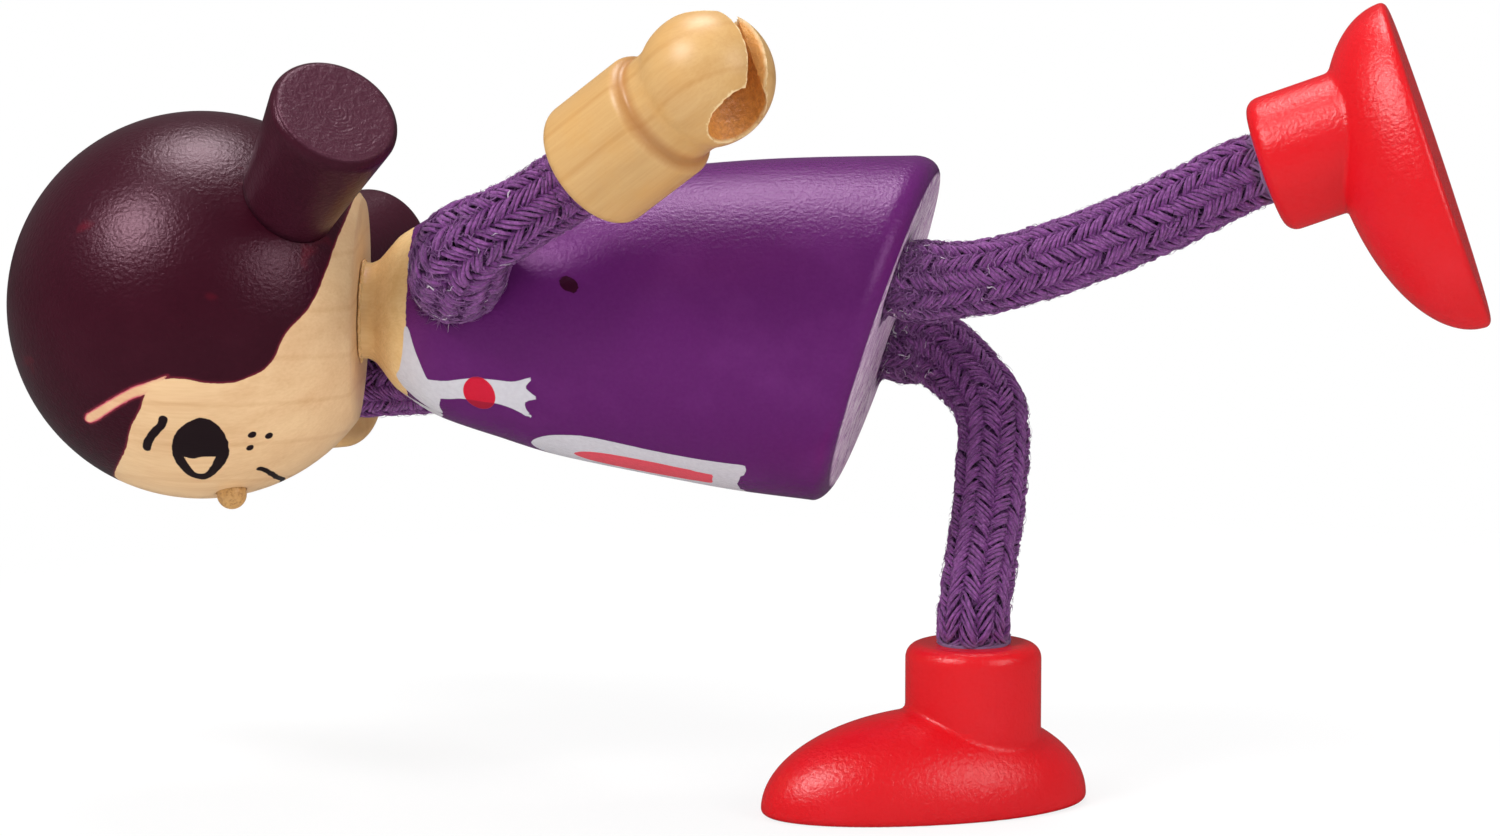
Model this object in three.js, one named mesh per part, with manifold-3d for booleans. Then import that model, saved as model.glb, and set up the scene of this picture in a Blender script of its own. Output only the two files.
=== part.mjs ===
// A wooden doll with bendable limbs, posed on one leg with the other raised behind it.
// Millimetres, +Z up. The origin is on the floor, in the sole of the standing shoe, under its cuff.
import * as THREE from 'three';
import { mergeVertices } from 'three/addons/utils/BufferGeometryUtils.js';
import Module from 'manifold-3d';

const wasm = await Module();
wasm.setup();

// Fits
const SEAT_GAP = 0.3;          // between a piece and what it is glued into or turns against
const CORD_GAP = 0.3;          // between two stretches of one cord
const BORE_FIT = 0.3;          // a drilled hole's radius over its cord's or dowel's

// Head: a turned ball with a flat for the neck
const HEAD_RADIUS = 15;
const HEAD_FLAT = 12.3;        // flat below the ball's centre
const HEAD_TURN = -4.5;        // degrees to the doll's right

// Nose: a domed peg
const NOSE_RADIUS = 1.15;
const NOSE_DEPTH = 3;
const NOSE_PROUD = 1.35;
const NOSE_DROP = 12;          // degrees below the middle of the face

// Hair bunches: cones turned with a tenon
const BUNCH_ROOT_RADIUS = 3.8;
const BUNCH_END_RADIUS = 4.7;
const BUNCH_PROUD = 10.6;      // out of the head
const BUNCH_RIM = 0.8;
const BUNCH_SIDE = 63.5;       // degrees round from straight back
const BUNCH_SLANT = 22;        // degrees down towards the neck
const BUNCH_LOW = 2.3;         // where both axes start, below the ball's centre
const TENON_RADIUS = 2;
const TENON_LENGTH = 4;

// Torso: a turned bell, sawn off at a slant so that the back is longer than the front
const TORSO_HEIGHT = 40.4;     // hem to neck, on the axis
const NECK_RADIUS = 3.5;
const NECK_LENGTH = 0.8;
const COLLAR_RADIUS = 4.9;
const COLLAR_DROP = 2.05;      // each drop is measured down from the neck end
const SHOULDER_RADIUS = 6.5;
const SHOULDER_DROP = 3.5;
const ARMPIT_RADIUS = 7.95;
const ARMPIT_DROP = 6;
const CHEST_RADIUS = 9.35;
const CHEST_DROP = 10.5;
const WAIST_RADIUS = 10.9;
const WAIST_DROP = 16.6;
const SKIRT_RADIUS = 12.7;
const SKIRT_DROP = 28.8;
const HEM_RADIUS = 13.45;
const HEM_TILT = 17.7;         // degrees
const HEM_EDGE = 1.15;
const HEM_FADE = 24;           // height over which the slant dies out

// Neck dowel
const DOWEL_RADIUS = 2;
const DOWEL_IN_TORSO = 3.4;
const DOWEL_IN_HEAD = 8;

// Limb cords: braided sleeves over a bendable wire
const CORD_RADIUS = 2.87;
const CORD_BORE = 0.9;
const WIRE_RADIUS = 0.6;
const ARM_DROP = 7.2;          // the arm hole below the neck end
const ARM_AHEAD = 0.3;         // the arm hole in front of the axis
const HIP_APART = 16;          // the two leg holes, centre to centre
const HIP_BACK = 1.3;
const HIP_DEPTH = 9;
const ROOT_BEND = 1.2;         // a limb's first bend, out from the wood

// Cuffs of the hands and shoes
const CUFF_EDGE = 1.1;
const CUFF_HOLE_DEPTH = 6;

// Hands: a cuff, a groove and a ball that is cut to a clip
const HAND_RADIUS = 5.07;      // of the cuff and of the ball
const HAND_CUFF_LENGTH = 7.5;  // its straight side
const HAND_SHOULDER = 0.9;
const GROOVE_RADIUS = 4.4;
const GROOVE_START = 8.6;
const HAND_BALL_AT = 12.8;     // from the cuff's mouth
const CLIP_BORE_RADIUS = 2.42;
const CLIP_BORE_PAST = 1.5;    // beyond the ball's centre
const CLIP_SLOT = 2.08;

// Shoes: a domed foot with a flat sole and a cuff
const SHOE_HEIGHT = 12.5;
const SHOE_CUFF_RADIUS = 5.22;
const DOME_HEIGHT = 7.7;
const DOME_HALF_WIDTH = 7.3;
const DOME_TOE = 14.2;
const DOME_HEEL = 12;
const CUFF_FROM_HEEL = 9.1;

// Pose of the torso: leaning forward, rolled so that its left side is up
const HEM_CENTRE = new THREE.Vector3(-6.55, 7.05, 35.85);
const TORSO_LEAN = 87.9;
const TORSO_ROLL = 25;
const STANDING_YAW = -70;

// Pose of the hands and the raised shoe: the cuff's mouth, the way the cord leaves it, and a way across
const LEFT_HAND = {
  mouth: [-29.1, -8, 49.55],
  out: [-0.689, 0.456, -0.564],
  across: [-0.298, 0.531, 0.793],
};
const RIGHT_HAND = {
  mouth: [-49.6, 27.6, 28.8],
  out: [0.84, -0.52, 0.15],
  across: [0.52, 0.84, 0],
};
const LEFT_SHOE = {
  mouth: [21.7, -1.4, 49.1],
  out: [-0.93, 0.136, -0.341],
  toe: [0.31, -0.396, -0.87],
};

// Free points of the four limbs, between the wood and the cuff
const LEFT_ARM_POINTS = [[-38.3, -5.8, 43.4], [-34.6, -7.6, 45.4]];
const RIGHT_ARM_POINTS = [[-40.3, 20.6, 30.6], [-43.6, 24.6, 29.6]];
const LEFT_LEG_POINTS = [[1.8, 0, 40.9], [7.9, -0.4, 42.8], [14.6, -0.9, 45.7]];
const RIGHT_LEG_POINTS = [[-0.8, 13.5, 32.1], [1.5, 10.4, 29.1], [1.7, 6.1, 23.3]];
const ROUTE_LEAD = 3;          // straight stretch where a cord leaves the torso
const CUFF_LEAD = 2;           // and where it enters a cuff

// Bends along a limb, as lengths from the wood
const ARM_BENDS = [ROOT_BEND, 6, 12];
const LEG_BENDS = [ROOT_BEND, 7, 15];
const CUFF_BEND = 0.6;         // the last bend, out from the cuff's mouth

// Faces round and along the surfaces
const BALL_SIDES = 36;
const TURNED_SIDES = 24;
const BORE_SIDES = 20;
const CORD_SIDES = 10;
const WIRE_SIDES = 6;
const STEP_LENGTH = 2;
const CUT_OVERRUN = 2;

const woodFinish = { color: 0xe9c48f, roughness: 0.42, metalness: 0 };
const clearFinish = { color: 0xdba85f, roughness: 0.3, metalness: 0 };
const hairFinish = { color: 0x43122a, roughness: 0.3, metalness: 0 };
const dressFinish = { color: 0x5d2077, roughness: 0.35, metalness: 0 };
const shoeFinish = { color: 0xdd1f2c, roughness: 0.35, metalness: 0 };
const cordFinish = { color: 0x5b2f71, roughness: 0.95, metalness: 0 };
const wireFinish = { color: 0x8f9295, roughness: 0.4, metalness: 1 };

const radians = THREE.MathUtils.degToRad;
const vector = (values) => new THREE.Vector3(...values);

function toSolid(geometry) {
  const bare = geometry.index ? geometry.toNonIndexed() : geometry.clone();
  bare.deleteAttribute('normal');
  bare.deleteAttribute('uv');
  const merged = mergeVertices(bare, 1e-4);
  const corners = [];
  const index = merged.index.array;
  for (let i = 0; i < index.length; i += 3) {
    const [a, b, c] = index.slice(i, i + 3);
    if (a !== b && b !== c && c !== a) {
      corners.push(a, b, c);
    }
  }
  return new wasm.Manifold(new wasm.Mesh({
    numProp: 3,
    vertProperties: new Float32Array(merged.attributes.position.array),
    triVerts: new Uint32Array(corners),
  }));
}

function toGeometry(solid) {
  const mesh = solid.getMesh();
  const geometry = new THREE.BufferGeometry();
  geometry.setAttribute('position', new THREE.BufferAttribute(mesh.vertProperties, 3));
  geometry.setIndex(new THREE.BufferAttribute(mesh.triVerts, 1));
  geometry.computeVertexNormals();
  return geometry;
}

function piece(name, solid, finish) {
  const geometry = solid.isBufferGeometry ? solid : toGeometry(solid);
  const mesh = new THREE.Mesh(geometry, new THREE.MeshStandardMaterial(finish));
  mesh.name = name;
  return mesh;
}

// A turned shape on the Z axis from its [radius, height] outline, given from the bottom up
function turned(outline, sides = TURNED_SIDES) {
  const points = outline.map(([radius, height]) => new THREE.Vector2(radius, height));
  return new THREE.LatheGeometry(points, sides).rotateX(Math.PI / 2);
}

// Points of an arc in the outline's plane, about [radius, height], between two angles in degrees
function arc([radius, height], size, from, to, steps) {
  const points = [];
  for (let i = 0; i <= steps; i += 1) {
    const angle = radians(from + (to - from) * i / steps);
    points.push([Math.max(0, radius + size * Math.cos(angle)), height + size * Math.sin(angle)]);
  }
  return points;
}

// A plain round bar on the Z axis between two heights
function bar(radius, low, high, sides = BORE_SIDES) {
  const geometry = new THREE.CylinderGeometry(radius, radius, high - low, sides);
  return geometry.rotateX(Math.PI / 2).translate(0, 0, (low + high) / 2);
}

// Torso
const shoulderHeight = TORSO_HEIGHT - ARM_DROP;
const hipX = HIP_APART / 2;
const hemSlope = Math.tan(radians(HEM_TILT));

function bellOutline() {
  const stations = [
    [HEM_RADIUS, TORSO_HEIGHT - HEM_EDGE],
    [SKIRT_RADIUS, SKIRT_DROP],
    [WAIST_RADIUS, WAIST_DROP],
    [CHEST_RADIUS, CHEST_DROP],
    [ARMPIT_RADIUS, ARMPIT_DROP],
    [SHOULDER_RADIUS, SHOULDER_DROP],
    [COLLAR_RADIUS, COLLAR_DROP],
    [NECK_RADIUS, NECK_LENGTH],
  ];
  const side = new THREE.SplineCurve(stations.map(([radius, drop]) => (
    new THREE.Vector2(radius, TORSO_HEIGHT - drop))));
  const edge = arc([HEM_RADIUS - HEM_EDGE, HEM_EDGE], HEM_EDGE, -90, 0, 4).slice(0, -1);
  const flank = side.getPoints(3 * (stations.length - 1)).map((p) => [p.x, p.y]);
  return [[0, 0], ...edge, ...flank, [NECK_RADIUS, TORSO_HEIGHT], [0, TORSO_HEIGHT]];
}

// The hem is slanted by sliding the low rings along the axis, more towards the front
function slantHem(geometry) {
  const position = geometry.attributes.position;
  for (let i = 0; i < position.count; i += 1) {
    const height = position.getZ(i);
    const fade = Math.max(0, 1 - height / HEM_FADE) ** 2;
    position.setZ(i, height - position.getY(i) * hemSlope * fade);
  }
  return geometry;
}

function torsoBlock() {
  const bell = toSolid(slantHem(turned(bellOutline(), BALL_SIDES)));
  const bore = CORD_RADIUS + BORE_FIT;
  const armHole = bar(bore, -HEM_RADIUS, HEM_RADIUS).rotateY(Math.PI / 2)
    .translate(0, -ARM_AHEAD, shoulderHeight);
  const neckHole = bar(DOWEL_RADIUS + BORE_FIT / 2, TORSO_HEIGHT - DOWEL_IN_TORSO - SEAT_GAP,
    TORSO_HEIGHT + CUT_OVERRUN);
  let block = bell.subtract(toSolid(armHole)).subtract(toSolid(neckHole));
  for (const side of [-1, 1]) {
    const hipHole = bar(bore, -HEM_RADIUS, HIP_DEPTH).translate(side * hipX, HIP_BACK, 0);
    block = block.subtract(toSolid(hipHole));
  }
  return block;
}

// Head
const noseTilt = radians(NOSE_DROP);
const headHeight = TORSO_HEIGHT + SEAT_GAP + HEAD_FLAT;
const bunchSlant = radians(BUNCH_SLANT);

// Turns a shape on the +Z axis so that it points out of the head towards the nose
const towardsNose = (geometry) => geometry.rotateX(Math.PI / 2 + noseTilt);

// The same, towards a hair bunch on the doll's left (1) or right (-1)
function towardsBunch(geometry, side) {
  return geometry.rotateX(-Math.PI / 2 - bunchSlant).rotateZ(-side * radians(BUNCH_SIDE))
    .translate(0, 0, -BUNCH_LOW);
}

// Where a bunch's axis comes out of the ball, measured along it
const bunchSeat = Math.sqrt(HEAD_RADIUS ** 2 - (BUNCH_LOW * Math.cos(bunchSlant)) ** 2)
  - BUNCH_LOW * Math.sin(bunchSlant);

function headBall() {
  const flatAngle = THREE.MathUtils.radToDeg(Math.asin(HEAD_FLAT / HEAD_RADIUS));
  const ball = toSolid(turned([
    [0, -HEAD_FLAT],
    ...arc([0, 0], HEAD_RADIUS, -flatAngle, 90, 16),
  ], BALL_SIDES));
  const dowelHole = bar(DOWEL_RADIUS + BORE_FIT / 2, -HEAD_FLAT - CUT_OVERRUN,
    DOWEL_IN_HEAD + SEAT_GAP - HEAD_FLAT);
  const noseHole = towardsNose(bar(NOSE_RADIUS + BORE_FIT / 2,
    HEAD_RADIUS - NOSE_DEPTH - SEAT_GAP, HEAD_RADIUS + CUT_OVERRUN, 16));
  let head = ball.subtract(toSolid(dowelHole)).subtract(toSolid(noseHole));
  for (const side of [-1, 1]) {
    const socket = bar(TENON_RADIUS + BORE_FIT / 2, bunchSeat - TENON_LENGTH - SEAT_GAP,
      bunchSeat + CUT_OVERRUN);
    head = head.subtract(toSolid(towardsBunch(socket, side)));
  }
  return head;
}

function nosePeg() {
  const tip = HEAD_RADIUS + NOSE_PROUD;
  return toSolid(towardsNose(turned([
    [0, HEAD_RADIUS - NOSE_DEPTH],
    [NOSE_RADIUS, HEAD_RADIUS - NOSE_DEPTH],
    ...arc([0, tip - NOSE_RADIUS], NOSE_RADIUS, 0, 90, 4),
  ], 12)));
}

function hairBunch(side) {
  const end = bunchSeat + BUNCH_PROUD;
  const root = bunchSeat - CUT_OVERRUN;
  const cone = turned([
    [0, root],
    [BUNCH_ROOT_RADIUS, root],
    ...arc([BUNCH_END_RADIUS - BUNCH_RIM, end - BUNCH_RIM], BUNCH_RIM, 5, 90, 4),
    [0, end],
  ]);
  const tenon = bar(TENON_RADIUS, bunchSeat - TENON_LENGTH, bunchSeat + CUT_OVERRUN);
  const ball = toSolid(new THREE.SphereGeometry(HEAD_RADIUS + SEAT_GAP, 48, 24));
  return toSolid(towardsBunch(cone, side)).subtract(ball).add(toSolid(towardsBunch(tenon, side)));
}

// Hands and shoes share a cuff, whose mouth is at the origin and faces +Z
function cuffHole() {
  return toSolid(bar(CORD_RADIUS + BORE_FIT, -CUFF_HOLE_DEPTH, CUT_OVERRUN));
}

function handPiece() {
  const ballAngle = THREE.MathUtils.radToDeg(Math.acos(GROOVE_RADIUS / HAND_RADIUS));
  const hand = toSolid(turned([
    ...arc([0, -HAND_BALL_AT], HAND_RADIUS, -90, ballAngle, 12),
    [GROOVE_RADIUS, -GROOVE_START],
    ...arc([HAND_RADIUS - HAND_SHOULDER, -HAND_CUFF_LENGTH], HAND_SHOULDER, -60, 0, 3),
    ...arc([HAND_RADIUS - CUFF_EDGE, -CUFF_EDGE], CUFF_EDGE, 0, 90, 4),
    [0, 0],
  ]));
  const boreAt = -HAND_BALL_AT - CLIP_BORE_PAST;
  const reach = HAND_RADIUS + CUT_OVERRUN;
  const bore = bar(CLIP_BORE_RADIUS, -reach, reach).rotateY(Math.PI / 2).translate(0, 0, boreAt);
  const slot = new THREE.BoxGeometry(2 * reach, CLIP_SLOT, reach).translate(0, 0, boreAt - reach / 2);
  return hand.subtract(toSolid(bore)).subtract(toSolid(slot)).subtract(cuffHole());
}

function shoePiece() {
  const dome = turned([[0, 0], ...arc([0, 0], 1, 0, 90, 10)], BALL_SIDES);
  const position = dome.attributes.position;
  const domeAhead = DOME_HEEL - CUFF_FROM_HEEL;
  for (let i = 0; i < position.count; i += 1) {
    const y = position.getY(i);
    position.setX(i, position.getX(i) * DOME_HALF_WIDTH);
    position.setY(i, y * (y < 0 ? DOME_TOE : DOME_HEEL) - domeAhead);
    position.setZ(i, position.getZ(i) * DOME_HEIGHT - SHOE_HEIGHT);
  }
  const cuff = turned([
    [0, DOME_HEIGHT / 2 - SHOE_HEIGHT],
    [SHOE_CUFF_RADIUS, DOME_HEIGHT / 2 - SHOE_HEIGHT],
    ...arc([SHOE_CUFF_RADIUS - CUFF_EDGE, -CUFF_EDGE], CUFF_EDGE, 0, 90, 4),
    [0, 0],
  ]);
  return toSolid(dome).add(toSolid(cuff)).subtract(cuffHole());
}

// Limbs
class Stretch extends THREE.Curve {
  constructor(route, from, to) {
    super();
    this.route = route;
    this.from = from / route.getLength();
    this.to = to / route.getLength();
  }

  getPoint(t, target = new THREE.Vector3()) {
    return target.copy(this.route.getPointAt(this.from + (this.to - this.from) * t));
  }
}

function ring(radius, sides) {
  const points = [];
  for (let i = 0; i < sides; i += 1) {
    const angle = 2 * Math.PI * i / sides;
    points.push(new THREE.Vector2(radius * Math.cos(angle), radius * Math.sin(angle)));
  }
  return points;
}

function sleeveShape() {
  const shape = new THREE.Shape(ring(CORD_RADIUS, CORD_SIDES));
  shape.holes.push(new THREE.Path(ring(CORD_BORE, WIRE_SIDES)));
  return shape;
}

// The sleeve and the wire of one stretch of a route, between two lengths along it
function cordPieces(name, route, from, to) {
  const extrudePath = new Stretch(route, from, to);
  const steps = Math.max(2, Math.round((to - from) / STEP_LENGTH));
  const options = { steps, extrudePath, bevelEnabled: false };
  const sleeve = new THREE.ExtrudeGeometry(sleeveShape(), options);
  const wire = new THREE.ExtrudeGeometry(new THREE.Shape(ring(WIRE_RADIUS, WIRE_SIDES)), options);
  return [
    piece(`${name}_cord`, toSolid(sleeve), cordFinish),
    piece(`${name}_wire`, toSolid(wire), wireFinish),
  ];
}

// A route from inside the wood, straight out, through the free points and straight into a cuff
function limbRoute(root, rootOut, rootDepth, points, cuff) {
  const mouth = cuff.localToWorld(new THREE.Vector3(0, 0, 0));
  const out = cuff.localToWorld(new THREE.Vector3(0, 0, 1)).sub(mouth);
  const along = (start, way, length) => start.clone().addScaledVector(way, length);
  const route = new THREE.CatmullRomCurve3([
    along(root, rootOut, -rootDepth),
    root,
    along(root, rootOut, ROUTE_LEAD),
    ...points.map(vector),
    along(mouth, out, CUFF_LEAD),
    mouth,
    along(mouth, out, SEAT_GAP - CUFF_HOLE_DEPTH),
  ], false, 'centripetal');
  route.arcLengthDivisions = 600;
  return route;
}

// The stretches of a limb: in the wood, one after each bend, and in the cuff
function limb(names, route, rootDepth, bends) {
  const length = route.getLength();
  const cuffStart = length - (CUFF_HOLE_DEPTH - SEAT_GAP) - CUFF_BEND;
  const cuts = [...bends.map((bend) => rootDepth + bend), cuffStart];
  const pieces = [];
  let from = 0;
  for (const [i, name] of names.entries()) {
    const to = i < cuts.length ? cuts[i] - CORD_GAP / 2 : length;
    pieces.push(...cordPieces(name, route, from, to));
    from = to + CORD_GAP;
  }
  return pieces;
}

// Turns a group so that its +Z and one way across it lie along two directions
function aim(group, place, acrossName) {
  const z = vector(place.out).normalize();
  const across = vector(place[acrossName]);
  const x = acrossName === 'toe' ? across.cross(z).negate() : across;
  x.addScaledVector(z, -x.dot(z)).normalize();
  const y = z.clone().cross(x);
  group.quaternion.setFromRotationMatrix(new THREE.Matrix4().makeBasis(x, y, z));
  group.position.set(...place.mouth);
}

const doll = new THREE.Group();

const torso = new THREE.Group();
torso.position.copy(HEM_CENTRE);
torso.rotation.set(-radians(TORSO_ROLL), -radians(TORSO_LEAN), -Math.PI / 2);
torso.add(piece('torso_block', torsoBlock(), dressFinish));
torso.add(piece('neck_dowel', toSolid(bar(DOWEL_RADIUS, TORSO_HEIGHT - DOWEL_IN_TORSO,
  headHeight - HEAD_FLAT + DOWEL_IN_HEAD)), woodFinish));

const head = new THREE.Group();
head.position.z = headHeight;
head.rotation.z = radians(HEAD_TURN);
head.add(piece('head_ball', headBall(), woodFinish));
head.add(piece('nose_peg', nosePeg(), woodFinish));
head.add(piece('left_hair_bunch', hairBunch(1), hairFinish));
head.add(piece('right_hair_bunch', hairBunch(-1), hairFinish));
torso.add(head);
doll.add(torso);

const leftHand = new THREE.Group();
aim(leftHand, LEFT_HAND, 'across');
leftHand.add(piece('left_hand', handPiece(), clearFinish));
const rightHand = new THREE.Group();
aim(rightHand, RIGHT_HAND, 'across');
rightHand.add(piece('right_hand', handPiece(), clearFinish));
const leftShoe = new THREE.Group();
aim(leftShoe, LEFT_SHOE, 'toe');
leftShoe.add(piece('left_shoe', shoePiece(), shoeFinish));
const rightShoe = new THREE.Group();
rightShoe.position.z = SHOE_HEIGHT;
rightShoe.rotation.z = radians(STANDING_YAW);
rightShoe.add(piece('right_shoe', shoePiece(), shoeFinish));
doll.add(leftHand, rightHand, leftShoe, rightShoe);
doll.updateMatrixWorld(true);

// The torso's surface at the arm hole, from the same outline as the block
function radiusAt(height) {
  const outline = bellOutline();
  const above = outline.findIndex(([radius, h]) => h > height && radius > 0);
  const [r0, h0] = outline[above - 1];
  const [r1, h1] = outline[above];
  return r0 + (r1 - r0) * (height - h0) / (h1 - h0);
}

const torsoWay = (x, y, z) => new THREE.Vector3(x, y, z).transformDirection(torso.matrixWorld);
const armReach = Math.sqrt(radiusAt(shoulderHeight) ** 2 - ARM_AHEAD ** 2);

// Both arms are one cord through the chest, so its middle stretch is a piece of its own
function armCord(side, sideName, points, cuff) {
  const root = torso.localToWorld(new THREE.Vector3(side * armReach, -ARM_AHEAD, shoulderHeight));
  const rootDepth = armReach - CORD_GAP / 2;
  const route = limbRoute(root, torsoWay(side, 0, 0), rootDepth, points, cuff);
  const names = ['chest', 'upper_arm', 'mid_arm', 'lower_arm', 'wrist'].map((n) => `${sideName}_${n}`);
  return limb(names, route, rootDepth, ARM_BENDS);
}

function legCord(side, sideName, points, cuff) {
  const hemAt = -HIP_BACK * hemSlope;
  const root = torso.localToWorld(new THREE.Vector3(side * hipX, HIP_BACK, hemAt));
  const rootDepth = HIP_DEPTH - hemAt - SEAT_GAP;
  const route = limbRoute(root, torsoWay(0, 0, -1), rootDepth, points, cuff);
  const names = ['hip', 'upper_leg', 'mid_leg', 'lower_leg', 'ankle'].map((n) => `${sideName}_${n}`);
  return limb(names, route, rootDepth, LEG_BENDS);
}

doll.add(...armCord(1, 'left', LEFT_ARM_POINTS, leftHand));
doll.add(...armCord(-1, 'right', RIGHT_ARM_POINTS, rightHand));
doll.add(...legCord(1, 'left', LEFT_LEG_POINTS, leftShoe));
doll.add(...legCord(-1, 'right', RIGHT_LEG_POINTS, rightShoe));

export default doll;
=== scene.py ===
"""A wooden doll with bendable limbs: turned and painted wood, braided cords over wire."""

import math
import random

import bpy
import numpy as np
from mathutils import Matrix, Vector


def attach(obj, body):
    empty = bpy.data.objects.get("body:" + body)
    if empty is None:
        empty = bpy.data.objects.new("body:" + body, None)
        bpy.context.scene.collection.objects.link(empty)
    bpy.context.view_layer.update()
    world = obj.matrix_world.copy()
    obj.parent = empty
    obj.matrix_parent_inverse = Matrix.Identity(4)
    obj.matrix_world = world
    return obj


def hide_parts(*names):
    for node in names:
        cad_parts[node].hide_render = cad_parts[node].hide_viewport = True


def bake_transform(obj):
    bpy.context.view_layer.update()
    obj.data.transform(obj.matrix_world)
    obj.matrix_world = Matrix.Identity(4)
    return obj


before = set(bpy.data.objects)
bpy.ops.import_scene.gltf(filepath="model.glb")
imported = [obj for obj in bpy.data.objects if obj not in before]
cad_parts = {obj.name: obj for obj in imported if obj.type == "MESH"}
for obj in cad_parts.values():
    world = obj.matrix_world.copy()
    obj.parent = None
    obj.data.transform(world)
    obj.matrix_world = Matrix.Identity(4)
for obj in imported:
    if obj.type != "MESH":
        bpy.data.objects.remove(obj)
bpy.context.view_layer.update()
MM = 0.001


# Camera
# A long lens in front of the doll and a little above it, level, looking eight degrees down.
camera_data = bpy.data.cameras.new("view")
camera_data.lens = 126
camera_data.sensor_width = 36
camera_data.clip_start = 0.01
camera_data.clip_end = 20
camera = bpy.data.objects.new("view", camera_data)
camera.location = (-0.01711, -0.39578, 0.08549)
camera.rotation_euler = (math.radians(82), 0, 0)
bpy.context.scene.collection.objects.link(camera)
bpy.context.scene.camera = camera
bpy.context.scene.view_settings.view_transform = "Standard"


# Studio
# A white room: a pale floor that reaches far back, and four soft lamps, at the upper left, at the
# upper right, above and a little behind the doll, and in front.
def colour(code):
    """A paint's colour from its sRGB code"""
    parts = [int(code[i:i + 2], 16) / 255 for i in (0, 2, 4)]
    linear = [p / 12.92 if p <= 0.04045 else ((p + 0.055) / 1.055) ** 2.4 for p in parts]
    return (*linear, 1.0)


def set_inputs(node, inputs):
    """Sets inputs, given by name or number, to a number, a colour's code or another node's socket"""
    for name, value in inputs.items():
        if isinstance(value, bpy.types.NodeSocket):
            node.id_data.links.new(value, node.inputs[name])
        else:
            node.inputs[name].default_value = colour(value) if isinstance(value, str) else value


def add_node(tree, kind, inputs=None, **settings):
    """Adds a shader node with its settings and its inputs"""
    made = tree.nodes.new(kind)
    for name, value in settings.items():
        setattr(made, name, value)
    set_inputs(made, inputs or {})
    return made


ROOM_LIGHT = 0.36               # how bright the room is on the doll
ROOM_SEEN = 0.13                # in its varnish
ROOM_DARK = 0.02                # in its varnish, on the photographer's side
world = bpy.data.worlds.new("white_room")
world.use_nodes = True
bpy.context.scene.world = world
room = world.node_tree
room.nodes.clear()
rays = add_node(room, "ShaderNodeLightPath")
way = add_node(room, "ShaderNodeTexCoord")
split = add_node(room, "ShaderNodeSeparateXYZ", {"Vector": way.outputs["Generated"]})
# Varnish sees the white room, which is darker where the photographer stands
behind_camera = add_node(room, "ShaderNodeMapRange", {
    "Value": split.outputs["Y"], "From Min": -0.95, "From Max": -0.1, "To Min": ROOM_DARK,
    "To Max": ROOM_SEEN})
shiny = add_node(room, "ShaderNodeMath", {0: rays.outputs["Is Glossy Ray"],
                                          1: rays.outputs["Is Transmission Ray"]}, operation="MAXIMUM")
seen = add_node(room, "ShaderNodeMix", {"Factor": shiny.outputs["Value"], 2: ROOM_LIGHT,
                                        3: behind_camera.outputs["Result"]}, data_type="FLOAT")
strength = add_node(room, "ShaderNodeMix", {"Factor": rays.outputs["Is Camera Ray"],
                                            2: seen.outputs[0], 3: 1.0}, data_type="FLOAT")
background = add_node(room, "ShaderNodeBackground", {"Color": (1, 1, 1, 1),
                                                     "Strength": strength.outputs[0]})
add_node(room, "ShaderNodeOutputWorld", {"Surface": background.outputs["Background"]})

LAMP_DISTANCE = 0.62
LAMPS = [
    # name, way from the doll, size in metres, watts, seen in varnish
    ("lamp_left", (-0.58, -0.40, 0.72), 0.22, 2.7, True),
    ("lamp_above", (-0.10, 0.32, 0.94), 0.26, 2.15, True),
    ("lamp_right", (0.69, -0.50, 0.52), 0.24, 1.1, True),
    ("lamp_front", (0.1, -0.97, 0.12), 0.60, 0.76, False),
]
DOLL_MIDDLE = Vector((-0.017, 0.0, 0.035))
for name, lamp_way, size, watts, in_varnish in LAMPS:
    lamp_data = bpy.data.lights.new(name, "AREA")
    lamp_data.shape = "SQUARE"
    lamp_data.size = size
    lamp_data.energy = watts
    lamp = bpy.data.objects.new(name, lamp_data)
    lamp.visible_glossy = in_varnish
    lamp_way = Vector(lamp_way).normalized()
    lamp.location = DOLL_MIDDLE + LAMP_DISTANCE * lamp_way
    lamp.rotation_euler = lamp_way.to_track_quat("Z", "Y").to_euler()
    bpy.context.scene.collection.objects.link(lamp)


def deselect():
    """An operator acts on all that is selected, so each piece is started with nothing selected"""
    bpy.ops.object.select_all(action="DESELECT")


def material(name):
    """A new material with its tree, its surface shader and nothing linked yet"""
    made = bpy.data.materials.new(name)
    made.use_nodes = True
    return made, made.node_tree, made.node_tree.nodes["Principled BSDF"]


FLOOR_SIZE = 8
deselect()
bpy.ops.mesh.primitive_plane_add(size=FLOOR_SIZE)
floor = bpy.context.object
floor.data.transform(Matrix.Translation((0, FLOOR_SIZE / 3, 0)))
floor.name = "floor"
floor_paint, tree, surface = material("floor_paint")
set_inputs(surface, {"Roughness": 1.0, "Specular IOR Level": 0.0})
rays = add_node(tree, "ShaderNodeLightPath")
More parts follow.
